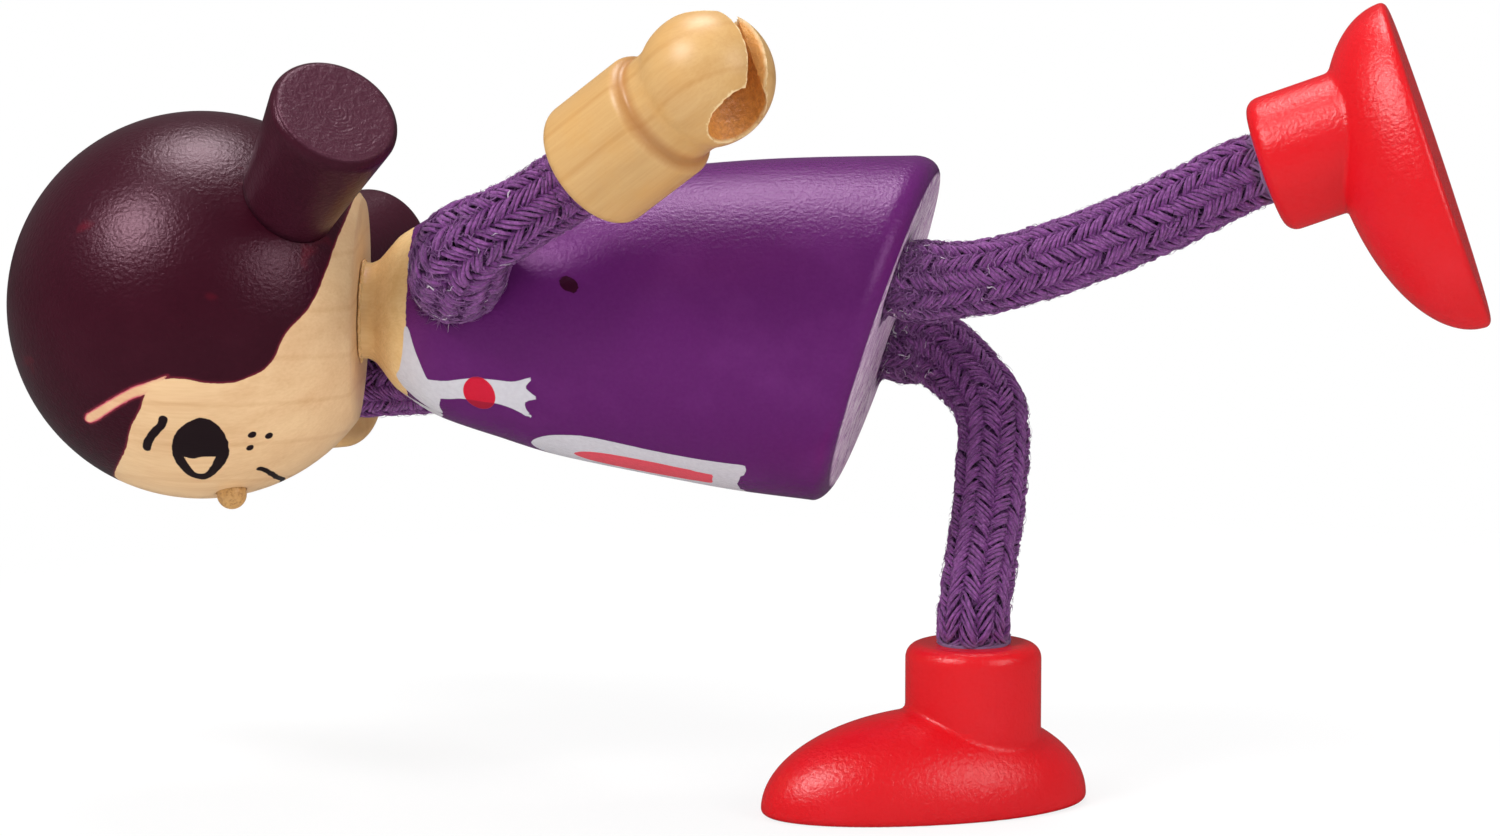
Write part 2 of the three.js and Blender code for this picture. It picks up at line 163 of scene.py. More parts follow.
# Varnish sees a dimmer floor, so that dark paint keeps its depth
bounce = add_node(tree, "ShaderNodeMix", {"Factor": rays.outputs["Is Glossy Ray"], 6: (0.88, 0.88, 0.88, 1),
                                          7: (0.10, 0.10, 0.10, 1)}, data_type="RGBA")
set_inputs(surface, {"Base Color": bounce.outputs[2]})
pale = add_node(tree, "ShaderNodeBsdfDiffuse", {"Color": (0.9, 0.9, 0.9, 1)})
glow = add_node(tree, "ShaderNodeEmission", {"Color": (1, 1, 1, 1), "Strength": 1.0})
from_middle = add_node(tree, "ShaderNodeVectorMath", {
    0: add_node(tree, "ShaderNodeTexCoord").outputs["Object"]}, operation="LENGTH")
bright = add_node(tree, "ShaderNodeMapRange", {"Value": from_middle.outputs["Value"], "From Min": 0.02,
                                               "From Max": 0.14, "To Min": 0.80, "To Max": 1.0})
half_lit = add_node(tree, "ShaderNodeMixShader", {"Fac": bright.outputs["Result"], 1: pale.outputs["BSDF"],
                                                  2: glow.outputs["Emission"]})
seen = add_node(tree, "ShaderNodeMixShader", {"Fac": rays.outputs["Is Camera Ray"],
                                              1: surface.outputs["BSDF"], 2: half_lit.outputs["Shader"]})
tree.links.new(seen.outputs["Shader"], tree.nodes["Material Output"].inputs["Surface"])
floor.data.materials.append(floor_paint)


# Torso block
# A bell of turned hardwood, its neck left bare under varnish, its dress sprayed in satin purple,
# with a collar, ties and an apron printed on the front. The hem is sawn off at a slant.
TORSO_HEIGHT = 40.4
NECK_RISE = 0.25                # closes the glue line under the head
NECK_RADIUS, NECK_EDGE = 3.72, 0.3
HEM_EDGE = 1.7
# radius, and drop from the neck's end
BELL = [(13.45, TORSO_HEIGHT - HEM_EDGE), (12.7, 28.8), (10.9, 16.6), (9.35, 10.5), (7.95, 6.0), (6.5, 3.5)]
NECK_COVE = [(6.5, 3.5), (5.9, 2.65), (5.3, 2.12), (4.75, 1.68), (4.3, 1.32), (3.95, 0.98),
             (NECK_RADIUS, 0.5)]
HEM_TILT = math.radians(17.7)
HEM_FADE = 24
HEM_CENTRE = (-6.55, 7.05, 35.85)
TORSO_LEAN = math.radians(87.9)
TORSO_ROLL = math.radians(25)
ARM_DROP, ARM_AHEAD = 7.2, 0.3
HIP_APART, HIP_BACK, HIP_DEPTH = 16, 1.3, 9
torso_place = (Matrix.Translation(Vector(HEM_CENTRE) * MM) @ Matrix.Rotation(-TORSO_ROLL, 4, "X")
               @ Matrix.Rotation(-TORSO_LEAN, 4, "Y") @ Matrix.Rotation(-math.pi / 2, 4, "Z"))


def smooth_line(points, steps, closed=False):
    """Points along a smooth curve through the given ones"""
    points = [np.array(p, float) for p in points]
    count = len(points)
    if closed:
        padded = [points[-1], *points, points[0], points[1]]
    else:
        padded = [points[0], *points, points[-1]]
    line = []
    for i in range(count if closed else count - 1):
        before, start, end, after = padded[i:i + 4]
        for step in range(steps):
            t = step / steps
            slope_in, slope_out = (end - before) / 2, (after - start) / 2
            line.append((2 * t ** 3 - 3 * t ** 2 + 1) * start + (t ** 3 - 2 * t ** 2 + t) * slope_in
                        + (3 * t ** 2 - 2 * t ** 3) * end + (t ** 3 - t ** 2) * slope_out)
    if not closed:
        line.append(points[-1])
    return line


def arc(centre, size, start, end, steps):
    """Points of an arc in the outline's plane, between two angles in degrees"""
    turns = [math.radians(start + (end - start) * i / steps) for i in range(steps + 1)]
    return [(max(0.0, centre[0] + size * math.cos(a)), centre[1] + size * math.sin(a)) for a in turns]


def turned_piece(name, outline, sides):
    """A closed turned shape about Z, from its (radius, height) outline in mm, given from the bottom up"""
    deselect()
    bpy.ops.mesh.primitive_plane_add(size=MM)
    piece = bpy.context.object
    piece.name = piece.data.name = name
    bpy.ops.object.mode_set(mode="EDIT")
    bpy.ops.mesh.select_all(action="SELECT")
    bpy.ops.mesh.merge(type="CENTER")
    bpy.ops.transform.translate(value=(outline[0][0] * MM, 0, outline[0][1] * MM))
    for (r0, h0), (r1, h1) in zip(outline, outline[1:]):
        step = ((r1 - r0) * MM, 0, (h1 - h0) * MM)
        bpy.ops.mesh.extrude_region_move(TRANSFORM_OT_translate={"value": step})
    bpy.ops.mesh.select_all(action="SELECT")
    bpy.ops.mesh.spin(steps=sides, angle=math.tau, center=(0, 0, 0), axis=(0, 0, 1))
    bpy.ops.mesh.select_all(action="SELECT")
    bpy.ops.mesh.remove_doubles(threshold=MM / 1000)
    bpy.ops.mesh.normals_make_consistent(inside=False)
    bpy.ops.object.mode_set(mode="OBJECT")
    return piece


def drill(piece, radius, length, place):
    """Takes a round bar, centred on Z before it is placed, out of a piece"""
    deselect()
    bpy.ops.mesh.primitive_cylinder_add(vertices=64, radius=radius * MM, depth=length * MM)
    cutter = bpy.context.object
    cutter.data.transform(place)
    take_out(piece, cutter)


def take_out(piece, cutter):
    """Subtracts one mesh from another for good"""
    change = piece.modifiers.new("cut", "BOOLEAN")
    change.operation = "DIFFERENCE"
    change.solver = "EXACT"
    change.object = cutter
    bpy.context.view_layer.objects.active = piece
    bpy.ops.object.modifier_apply(modifier=change.name)
    bpy.data.objects.remove(cutter)


def in_mm(x, y, z):
    """A shift given in millimetres"""
    return Matrix.Translation(Vector((x, y, z)) * MM)


def places_of(piece):
    """The piece's points as rows of millimetres"""
    places = np.empty(len(piece.data.vertices) * 3)
    piece.data.vertices.foreach_get("co", places)
    return places.reshape(-1, 3) / MM


def move_points(piece, points):
    """Puts the piece's points at new places, given as rows of millimetres"""
    piece.data.vertices.foreach_set("co", (points * MM).ravel())


def note(piece, **noted):
    """Writes named numbers for each point of the mesh, for the materials to read"""
    for name, values in noted.items():
        attribute = piece.data.attributes.new(name, "FLOAT", "POINT")
        attribute.data.foreach_set("value", np.asarray(values, np.float32))


def finish_piece(piece, place, paint, body, nodes, crease=35):
    """Smooths a piece, puts its mesh in its place and hangs it on its body in the CAD nodes' stead"""
    deselect()
    piece.select_set(True)
    bpy.context.view_layer.objects.active = piece
    bpy.ops.object.shade_smooth_by_angle(angle=math.radians(crease))
    piece.data.transform(place)
    piece.data.materials.clear()
    piece.data.materials.append(paint)
    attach(piece, body)
    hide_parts(*nodes)


bell_side = [(float(r), TORSO_HEIGHT - float(drop))
             for r, drop in [*smooth_line(BELL, 14)[:-1], *smooth_line(NECK_COVE, 4)]]


def bell_radius(height):
    """The bell's radius at a height above the hem, before the hem is slanted"""
    heights = [h for _, h in bell_side]
    return np.interp(height, heights, [r for r, _ in bell_side])


def hem_slide(across_y, height):
    """How far a point of the straight bell slides along the axis when the hem is slanted"""
    fade = np.maximum(0, 1 - height / HEM_FADE) ** 2
    return -across_y * math.tan(HEM_TILT) * fade


rim_centre = (BELL[0][0] - HEM_EDGE, HEM_EDGE)
neck_top = TORSO_HEIGHT + NECK_RISE
bell_outline = [
    (0, 0), *[(r, 0) for r in np.linspace(1.5, 10.5, 10)],          # rows, for the hem to slant
    *arc(rim_centre, HEM_EDGE, -90, 0, 10)[:-1], *bell_side,
    *arc((NECK_RADIUS - NECK_EDGE, neck_top - NECK_EDGE), NECK_EDGE, 0, 90, 4), (0, neck_top),
]
torso = turned_piece("torso_shell", bell_outline, 240)
straight = places_of(torso)
slanted = straight.copy()
slanted[:, 2] += hem_slide(straight[:, 1], straight[:, 2])
# Varnish and glue are squeezed out in flakes where the neck meets the head
flake_turn = np.arctan2(straight[:, 0], straight[:, 1])
flakes = (1 + 0.045 * np.sin(flake_turn * 23 + 2 * np.sin(flake_turn * 5))
          + 0.05 * np.sin(flake_turn * 9 + 1) + 0.03 * np.sin(flake_turn * 61 + 3 * np.sin(flake_turn * 7)))
off_axis = np.hypot(straight[:, 0], straight[:, 1]) > 1
at_head = np.clip((straight[:, 2] - TORSO_HEIGHT + 0.05) / 0.15, 0, 1) * off_axis
slanted[:, :2] *= (1 + at_head * (0.5 * flakes - 0.42))[:, None]
move_points(torso, slanted)
arm_height = TORSO_HEIGHT - ARM_DROP
arm_hole_place = in_mm(0, -ARM_AHEAD, arm_height) @ Matrix.Rotation(math.pi / 2, 4, "Y")
CORD_HOLE_RADIUS = 2.74         # a little under the cord's 2.87, which is pressed in
THROUGH = 30
drill(torso, CORD_HOLE_RADIUS, THROUGH, arm_hole_place)
for side in (-1, 1):
    drill(torso, CORD_HOLE_RADIUS, 2 * HIP_DEPTH, in_mm(side * HIP_APART / 2, HIP_BACK, 0))

# What is printed on the dress, as (degrees round from the middle of the front, height above the hem).
# A point given twice is a corner. What crosses the middle is closed beyond it.
COLLAR_LEAF = [(61, 36.8), (61.6, 36.5), (49.8, 36.0), (40, 35.5), (31, 35.0), (24, 34.5), (17.4, 34.0),
               (17.4, 34.0), (10, 34.1), (3, 33.9), (0.3, 34.0), (0.3, 34.0), (0.2, 34.9), (2.3, 35.8),
               (6.0, 36.6), (12, 37.2), (19.3, 37.5), (28.6, 37.2), (47, 36.9)]
TIE = [(30.2, 35.2), (30.2, 35.2), (33.5, 33.5), (37.6, 32.1), (39.7, 30.8), (40.5, 29.6), (41.2, 28.4),
       (43.4, 27.5), (44.9, 27.0), (44.4, 26.8), (42, 27.1), (39.4, 27.3), (37.4, 26.9), (35.2, 26.4),
       (33.6, 26.8), (32.3, 27.3), (28, 27.3), (23.5, 26.8), (22.8, 27.1), (25.4, 28.1), (26.6, 29.3),
       (25.6, 30.6), (24, 32.2), (20.5, 33.3), (18.0, 34.1), (18.0, 34.1)]
APRON = [(-10, 26.9), (-10, 26.9), (0, 27.0), (6.8, 26.6), (13.2, 25.5), (17.1, 23.6), (17.8, 22.1),
         (17.1, 20.2), (16.3, 18.4), (15.5, 15.6), (15.2, 13.2), (16.0, 10.6), (16.0, 10.6), (12.6, 10.4),
         (6, 10.8), (-10, 11.5), (-10, 11.5)]
APRON_INSIDE = [(-10, 23.9), (-10, 23.9), (0, 23.7), (3.6, 23.2), (6.3, 22.1), (7.4, 20.2), (7.3, 17.8),
                (6.2, 15.0), (5.3, 12.9), (5.3, 12.9), (0, 13.0), (-10, 13.4), (-10, 13.4)]
BEAD_AT, BEAD_ROUND, BEAD_UP = (30.2, 30.9), 1.62, 1.28
SPOT_AT, SPOT_LENGTH, SPOT_WIDTH = (85.4, 24.2), 0.90, 0.54
DRESS_TOP = 36.7


def on_bell(degrees, height):
    """The place on the slanted bell at so many degrees round from the front"""
    turn = math.radians(degrees)
    radius = bell_radius(height)
    return np.array([radius * math.sin(turn), -radius * math.cos(turn), height])


def edge_distance(flat, places, outline, lift):
    """Millimetres from each point of a surface to a closed outline drawn on it, positive inside.
    flat holds the points' two surface coordinates, and lift turns a drawn point into a place"""
    inside = np.zeros(len(flat), bool)
    nearest = np.full(len(flat), 1e9)
    for a, b in zip(outline, [*outline[1:], outline[0]]):
        if a[1] != b[1]:
            spans = (a[1] > flat[:, 1]) != (b[1] > flat[:, 1])
            crossing = a[0] + (flat[:, 1] - a[1]) * (b[0] - a[0]) / (b[1] - a[1])
            inside ^= spans & (flat[:, 0] < crossing)
        start, end = lift(*a), lift(*b)
        along = end - start
        share = np.clip((places - start) @ along / max(along @ along, 1e-12), 0, 1)
        gap = places - start - share[:, None] * along
        nearest = np.minimum(nearest, np.sqrt(np.einsum("ij,ij->i", gap, gap)))
    return np.where(inside, nearest, -nearest)


torso_points = places_of(torso)
round_angle = np.degrees(np.arctan2(torso_points[:, 0], -torso_points[:, 1]))
torso_flat = np.column_stack([np.abs(round_angle), torso_points[:, 2]])
mirrored = torso_points.copy()
mirrored[:, 0] = np.abs(mirrored[:, 0])


def printed(outline, steps=5):
    """The print's distance on every point of the torso, the same on both halves of the front"""
    return edge_distance(torso_flat, mirrored, smooth_line(outline, steps, closed=True), on_bell)


grey_print = np.maximum(np.maximum(printed(COLLAR_LEAF), printed(TIE)), printed(APRON))
bead_away = mirrored - on_bell(*BEAD_AT)
bead_across = np.hypot(bead_away[:, 0], bead_away[:, 1])
bead = BEAD_UP * (1 - np.hypot(bead_across / BEAD_ROUND, bead_away[:, 2] / BEAD_UP))
red_print = np.maximum(printed(APRON_INSIDE), bead)
spot_away = torso_points - on_bell(*SPOT_AT)
spot_along = spot_away @ np.array([0.0, 0.64, 0.77])            # it lies aslant
spot_across = spot_away @ np.array([0.0, 0.77, -0.64])
spot = 1 - np.sqrt((spot_along / SPOT_LENGTH) ** 2 + (spot_across / SPOT_WIDTH) ** 2)
spot = np.where(torso_points[:, 0] > 0, spot * SPOT_WIDTH, -1.0)
slant_height = torso_points[:, 2] - hem_slide(torso_points[:, 1], np.zeros(len(torso_points)))
leg_away = [np.hypot(torso_points[:, 0] - side * HIP_APART / 2, torso_points[:, 1] - HIP_BACK)
            for side in (-1, 1)]
arm_away = np.hypot(torso_points[:, 1] + ARM_AHEAD, torso_points[:, 2] - arm_height)
note(torso, dress_paint=DRESS_TOP - torso_points[:, 2], grey_print=grey_print, red_print=red_print,
     bead=bead, spot=spot, above_hem=slant_height, from_leg=np.minimum(*leg_away) - CORD_HOLE_RADIUS,
     from_arm=arm_away - CORD_HOLE_RADIUS)


def start_group(name, inputs, outputs):
    """An empty shader node group with named sockets; returns it with its input and output nodes"""
    group = bpy.data.node_groups.new(name, "ShaderNodeTree")
    for socket_name, kind in inputs:
        group.interface.new_socket(socket_name, in_out="INPUT", socket_type=f"NodeSocket{kind}")
    for socket_name, kind in outputs:
        group.interface.new_socket(socket_name, in_out="OUTPUT", socket_type=f"NodeSocket{kind}")
    return group, add_node(group, "NodeGroupInput"), add_node(group, "NodeGroupOutput")


def noise(vector, scale, detail=2.0, roughness=0.5):
    """A noise's value, with its scale in lumps per millimetre"""
    return add_node(vector.id_data, "ShaderNodeTexNoise", {
        "Vector": vector, "Scale": scale, "Detail": detail, "Roughness": roughness}).outputs["Fac"]


def stretched(vector, scale):
    """Coordinates scaled along each axis"""
    made = add_node(vector.id_data, "ShaderNodeMapping", {"Vector": vector, "Scale": scale})
    return made.outputs["Vector"]


def ramp(value, low, high, to_low=0.0, to_high=1.0):
    """A value carried from one range to another and held at its ends"""
    made = add_node(value.id_data, "ShaderNodeMapRange", {
        "Value": value, "From Min": low, "From Max": high, "To Min": to_low, "To Max": to_high})
    return made.outputs["Result"]


def sums(operation, first, second=0.0):
    """One arithmetic step"""
    made = add_node(first.id_data, "ShaderNodeMath", {0: first, 1: second}, operation=operation)
    return made.outputs["Value"]


def times(first, second):
    return sums("MULTIPLY", first, second)


def plus(first, second):
    return sums("ADD", first, second)


def mixed(share, first, second):
    """One colour laid over another"""
    made = add_node(share.id_data, "ShaderNodeMix", {0: share, 6: first, 7: second}, data_type="RGBA")
    return made.outputs[2]


def blended(share, first, second):
    """One value in place of another"""
    made = add_node(share.id_data, "ShaderNodeMix", {0: share, 2: first, 3: second}, data_type="FLOAT")
    return made.outputs[0]


# Turned wood: pale and dark streaks along the piece's Z axis, and faint growth rings across it
wood_group, given, result = start_group(
    "turned_wood",
    [("Place", "Vector"), ("Pale", "Color"), ("Dark", "Color"), ("Rings", "Float")],
    [("Color", "Color"), ("Height", "Float")])
grain_place = stretched(given.outputs["Place"], (1, 1, 0.07))
streaks = noise(grain_place, 0.55, 4.0, 0.6)
fibres = noise(stretched(given.outputs["Place"], (1, 1, 0.05)), 5.5, 2.0)
ring_wave = add_node(wood_group, "ShaderNodeTexWave", {
    "Vector": stretched(given.outputs["Place"], (1, 0.55, 0.05)), "Scale": 0.085,
    "Distortion": 3.6, "Detail": 3.0, "Detail Scale": 0.6}, wave_type="BANDS", bands_direction="X")
ring_lines = ramp(ring_wave.outputs["Fac"], 0.95, 1.0)
ring_share = times(ring_lines, given.outputs["Rings"])
tone = plus(ramp(streaks, 0.35, 0.75, 0.0, 0.5), ramp(fibres, 0.35, 0.8, 0.0, 0.28))
tone = plus(tone, ring_share)
wood_tone = mixed(tone, given.outputs["Pale"], given.outputs["Dark"])
set_inputs(result, {"Color": wood_tone, "Height": times(fibres, 0.006)})

# A sprayed coat of paint: a slightly cloudy colour, orange peel, and the grain showing through
paint_group, given, result = start_group(
    "sprayed_paint",
    [("Place", "Vector"), ("Paint", "Color"), ("Thin", "Color"), ("Cloud", "Float"), ("Peel", "Float")],
    [("Color", "Color"), ("Height", "Float")])
clouds = noise(given.outputs["Place"], 0.16, 3.0, 0.55)
cloud_share = times(ramp(clouds, 0.5, 0.8), given.outputs["Cloud"])
specks = ramp(noise(given.outputs["Place"], 3.2, 3.0), 0.3, 0.75, 0.0, 0.12)
paint_share = plus(cloud_share, specks)
paint_tone = mixed(paint_share, given.outputs["Paint"], given.outputs["Thin"])
set_inputs(result, {"Color": paint_tone})
peel = noise(given.outputs["Place"], 2.9, 4.0, 0.6)
grain = noise(stretched(given.outputs["Place"], (1, 1, 0.12)), 3.0, 2.0)
peel_height = times(peel, 0.028)
grain_height = times(grain, 0.008)
both = times(plus(peel_height, grain_height), given.outputs["Peel"])
set_inputs(result, {"Height": both})

# The ragged edge of a coat or a print, from a distance in millimetres that is positive inside it
edge_group, given, result = start_group(
    "painted_edge", [("Place", "Vector"), ("Distance", "Float"), ("Ragged", "Float")], [("Mask", "Float")])
wobble = sums("SUBTRACT", noise(given.outputs["Place"], 1.6, 3.0), 0.5)
wobble = times(wobble, given.outputs["Ragged"])
moved = plus(wobble, given.outputs["Distance"])
set_inputs(result, {"Mask": ramp(moved, -0.025, 0.025)})


def own_place(tree, place):
    """Object coordinates turned into millimetres in the piece's own frame, as it is turned on the lathe"""
    from_object = add_node(tree, "ShaderNodeTexCoord")
    made = add_node(tree, "ShaderNodeMapping", {
        "Vector": from_object.outputs["Object"], "Location": place.to_translation(),
        "Rotation": place.to_euler("XYZ"), "Scale": (MM, MM, MM)}, vector_type="TEXTURE")
    return made.outputs["Vector"]


def use_group(group, place, inputs):
    """Places a node group in a material"""
    return add_node(place.id_data, "ShaderNodeGroup", {"Place": place, **inputs}, node_tree=group).outputs


def turned_wood(place, pale, dark, rings):
    return use_group(wood_group, place, {"Pale": pale, "Dark": dark, "Rings": rings})


def sprayed_paint(place, paint, thin, cloud, peel):
    return use_group(paint_group, place, {"Paint": paint, "Thin": thin, "Cloud": cloud, "Peel": peel})


def read(tree, name):
    """A number written on the mesh's points"""
    return add_node(tree, "ShaderNodeAttribute", attribute_name=name).outputs["Fac"]


def edge_mask(place, name, ragged):
    """Where a coat or a print lies, by its distance on the mesh"""
    return use_group(edge_group, place, {"Distance": read(place.id_data, name), "Ragged": ragged})["Mask"]


def bumps(surface, height):
    """Bumps of so many millimetres"""
    made = add_node(surface.id_data, "ShaderNodeBump", {"Height": height, "Distance": MM})
    set_inputs(surface, {"Normal": made.outputs["Normal"]})


dress_paint, tree, surface = material("dress_paint")
place = own_place(tree, torso_place)
wood = turned_wood(place, "ecca90", "d2a262", rings=0.15)
coat = sprayed_paint(place, "5b1c61", "72307a", cloud=0.35, peel=2.6)
# The saw left pale scratches across the hem, and glue and dye lie round the cords
scratches = ramp(noise(stretched(place, (1.6, 0.2, 1)), 2.0, 5.0, 0.8), 0.44, 0.54)
stains = ramp(noise(place, 0.5, 3.0, 0.6), 0.35, 0.65)
sawn_tone = mixed(scratches, mixed(stains, "8a5190", "bf90c1"), "e8d3e4")
leg_glue = plus(read(tree, "from_leg"), times(noise(place, 1.3, 4.0, 0.7), -2.6))
sawn_tone = mixed(ramp(leg_glue, -1.1, -0.2, 0.9, 0.0), sawn_tone, "44204e")
tone = mixed(edge_mask(place, "dress_paint", 0.25), wood["Color"], coat["Color"])
tone = mixed(ramp(read(tree, "above_hem"), 0.02, 0.10, 1.0, 0.0), tone, sawn_tone)
printing = noise(place, 2.5, 2.0)
grey_ink = mixed(ramp(printing, 0.3, 0.8, 0.0, 0.35), "cfced4", "b3b0ba")
red_ink = mixed(ramp(printing, 0.3, 0.8, 0.0, 0.4), "e2525f", "cc4254")
tone = mixed(edge_mask(place, "grey_print", 0.06), tone, grey_ink)
tone = mixed(edge_mask(place, "red_print", 0.06), tone, red_ink)
bead_tone = mixed(ramp(read(tree, "grey_print"), -0.05, 0.02, 0.8, 0.0), "cb1830", "93162d")
tone = mixed(edge_mask(place, "bead", 0.04), tone, bead_tone)
arm_glue = plus(read(tree, "from_arm"), times(noise(place, 1.8, 4.0, 0.7), -1.2))
tone = mixed(ramp(arm_glue, -0.5, -0.1, 0.8, 0.0), tone, "35163f")
tone = mixed(edge_mask(place, "spot", 0.08), tone, "30081c")
set_inputs(surface, {"Base Color": tone, "Roughness": 0.27, "Specular IOR Level": 0.4,
                     "Specular Tint": "ffbdff"})
bumps(surface, plus(coat["Height"], wood["Height"]))
finish_piece(torso, torso_place, dress_paint, "torso", ["torso_block"])


# Neck dowel
# A plain peg of bare wood, glued into the torso and turning in the head. It stays as it was drawn.
bare_wood, tree, surface = material("bare_wood")
wood = turned_wood(own_place(tree, torso_place), "e3bf88", "b98a50", rings=0.3)
set_inputs(surface, {"Base Color": wood["Color"], "Roughness": 0.6})
bumps(surface, wood["Height"])
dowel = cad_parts["neck_dowel"]
dowel.data.materials.clear()
dowel.data.materials.append(bare_wood)


# Head ball
# A turned ball of pale wood under clear varnish. The hair is dipped and brushed in dark red paint
# with a bare parting, and the face is printed in black.
HEAD_RADIUS, HEAD_FLAT, HEAD_TURN = 15, 12.3, math.radians(-4.5)
NECK_GAP = 0.3
HEAD_HEIGHT = TORSO_HEIGHT + NECK_GAP + HEAD_FLAT
head_place = torso_place @ in_mm(0, 0, HEAD_HEIGHT) @ Matrix.Rotation(HEAD_TURN, 4, "Z")
HEAD_SIDES, HEAD_RINGS = 160, 80
FACE_SIDE, FACE_LOW, FACE_HIGH = 68, -42, 36
NOSE_RADIUS, NOSE_FIT, NOSE_DROP = 1.15, 0.07, math.radians(12)

# Drawn in degrees to the doll's left of the face's middle and degrees above the ball's middle
HAIR_EDGE = [(0, 23.2), (9, 21.9), (18.6, 19.2), (27.1, 16.6), (36, 14.6), (42.6, 11.8), (48.8, 9.7),
             (52.5, 7.5), (54.4, 3), (54.6, -2), (53.4, -7.5), (53, -13), (53.2, -17), (54.5, -20.7),
             (56.3, -24.8), (59.9, -27.9), (64.4, -29.7), (69, -32.2), (74.5, -37.3), (81, -40.9),
             (88.9, -43.4), (96.3, -45.3), (106.7, -47.3), (120.9, -49.9), (143.6, -51.9), (180, -53)]
PARTING = [(32.4, 29.9), (34.4, 29.8), (36.5, 28.7), (40.2, 25.4), (43.6, 22.1), (46.6, 18.8), (49.2, 15.6),
           (51.2, 12.6), (53.2, 8.2), (55.5, 3.0), (52.8, 6.2), (48.9, 9.9), (46.9, 13.4), (44.2, 16.8),
           (41.4, 19.8), (38.2, 22.7), (34.8, 25.6), (32.2, 28.2)]
EYE = [(13.6, -4.6), (17, -0.6), (23, 1.9), (29.5, 2.9), (36.5, 1.2), (41, -3.4), (41.6, -7.5), (38, -11.4),
       (31.5, -13.5), (25, -13.1), (18.5, -10.0), (14.8, -7.2)]
EYE_LIGHT = [(26.4, -0.3), (26.4, -0.3), (25.4, -3.0), (26.2, -5.6), (25.8, -9.6), (25.8, -9.6), (21.5, -8.0),
             (18.1, -6.4), (17.5, -4.9), (18.0, -3.4), (22, -1.7)]
BROW = [(41.0, 4.7), (38.4, 5.6), (35.4, 7.8), (32.0, 9.5), (28.6, 10.3)]
BROW_WIDTH = 0.34
SMILE = [(14.6, -21.6), (12.6, -22.9), (9.6, -24.1), (5.4, -25.2), (1.4, -26), (-2.3, -26.8), (-6, -27.2),
         (-10, -26.8), (-14.5, -25.3), (-18.5, -23), (-21.5, -20.8)]
SMILE_WIDTH = 0.24
FRECKLES = [(32.9, -20.6), (30.5, -25.6), (27.3, -19.7)]
FRECKLE_RADIUS = 0.33

deselect()
bpy.ops.mesh.primitive_uv_sphere_add(segments=HEAD_SIDES, ring_count=HEAD_RINGS, radius=HEAD_RADIUS * MM)
head = bpy.context.object
head.name = head.data.name = "head_shell"


def spread(places):
    """A point's degrees round from the face's middle and degrees above the ball's middle"""
    round_degrees = np.degrees(np.arctan2(places[:, 0], -places[:, 1]))
    up_degrees = np.degrees(np.arcsin(np.clip(places[:, 2] / np.linalg.norm(places, axis=1), -1, 1)))
    return np.column_stack([np.abs(round_degrees), up_degrees])


def select_face_region(piece):
    """Selects the faces that the print covers, for the mesh to be made finer there"""
    centres = np.array([p.center for p in piece.data.polygons]) / MM
    degrees = spread(centres)
    wanted = (degrees[:, 0] < FACE_SIDE) & (degrees[:, 1] > FACE_LOW) & (degrees[:, 1] < FACE_HIGH)
    for polygon, is_face in zip(piece.data.polygons, wanted):
        polygon.select = bool(is_face)


for _ in range(2):
    bpy.ops.object.mode_set(mode="EDIT")
    bpy.ops.mesh.select_mode(type="FACE")
    bpy.ops.mesh.select_all(action="DESELECT")
    bpy.ops.object.mode_set(mode="OBJECT")
    select_face_region(head)
    bpy.ops.object.mode_set(mode="EDIT")
    bpy.ops.mesh.subdivide(number_cuts=1, quadcorner="INNERVERT")
    bpy.ops.object.mode_set(mode="OBJECT")
    ball_points = places_of(head)
    ball_points *= HEAD_RADIUS / np.linalg.norm(ball_points, axis=1)[:, None]
    move_points(head, ball_points)
bpy.ops.object.mode_set(mode="EDIT")
bpy.ops.mesh.select_mode(type="VERT")
bpy.ops.mesh.select_all(action="SELECT")
bpy.ops.mesh.bisect(plane_co=(0, 0, -HEAD_FLAT * MM), plane_no=(0, 0, -1), use_fill=True, clear_outer=True)
bpy.ops.object.mode_set(mode="OBJECT")
nose_way = Matrix.Rotation(math.pi / 2 + NOSE_DROP, 4, "X")
drill(head, NOSE_RADIUS + NOSE_FIT, 4, nose_way @ in_mm(0, 0, HEAD_RADIUS))


def on_ball(degrees, up):
    """The place on the head at so many degrees round and up"""
    turn, rise = math.radians(degrees), math.radians(up)
    return HEAD_RADIUS * np.array([math.sin(turn) * math.cos(rise), -math.cos(turn) * math.cos(rise),
                                   math.sin(rise)])


def stroke_distance(places, line, width):
    """Millimetres into a brush stroke of a half width along a line of drawn points"""
    nearest = np.full(len(places), 1e9)
    for a, b in zip(line, line[1:]):
        start, end = on_ball(*a), on_ball(*b)
        along = end - start
        share = np.clip((places - start) @ along / (along @ along), 0, 1)
        nearest = np.minimum(nearest, np.linalg.norm(places - start - share[:, None] * along, axis=1))
    return width - nearest


head_points = places_of(head)
head_flat = spread(head_points)
half_head = head_points.copy()
half_head[:, 0] = np.abs(half_head[:, 0])
hair_line = smooth_line(HAIR_EDGE, 5)
hair = edge_distance(head_flat, half_head, [*hair_line, (180.0, 90.0), (0.0, 90.0)], on_ball)
eye = edge_distance(head_flat, half_head, smooth_line(EYE, 4, closed=True), on_ball)
eye_light = edge_distance(head_flat, half_head, smooth_line(EYE_LIGHT, 4, closed=True), on_ball)
face_print = np.maximum.reduce([
    np.minimum(eye, -eye_light),
    stroke_distance(half_head, smooth_line(BROW, 6), BROW_WIDTH),
    stroke_distance(head_points, smooth_line(SMILE, 6), SMILE_WIDTH),
    *[FRECKLE_RADIUS - np.linalg.norm(half_head - on_ball(*f), axis=1) for f in FRECKLES],
])
on_left = head_points[:, 0] > 0
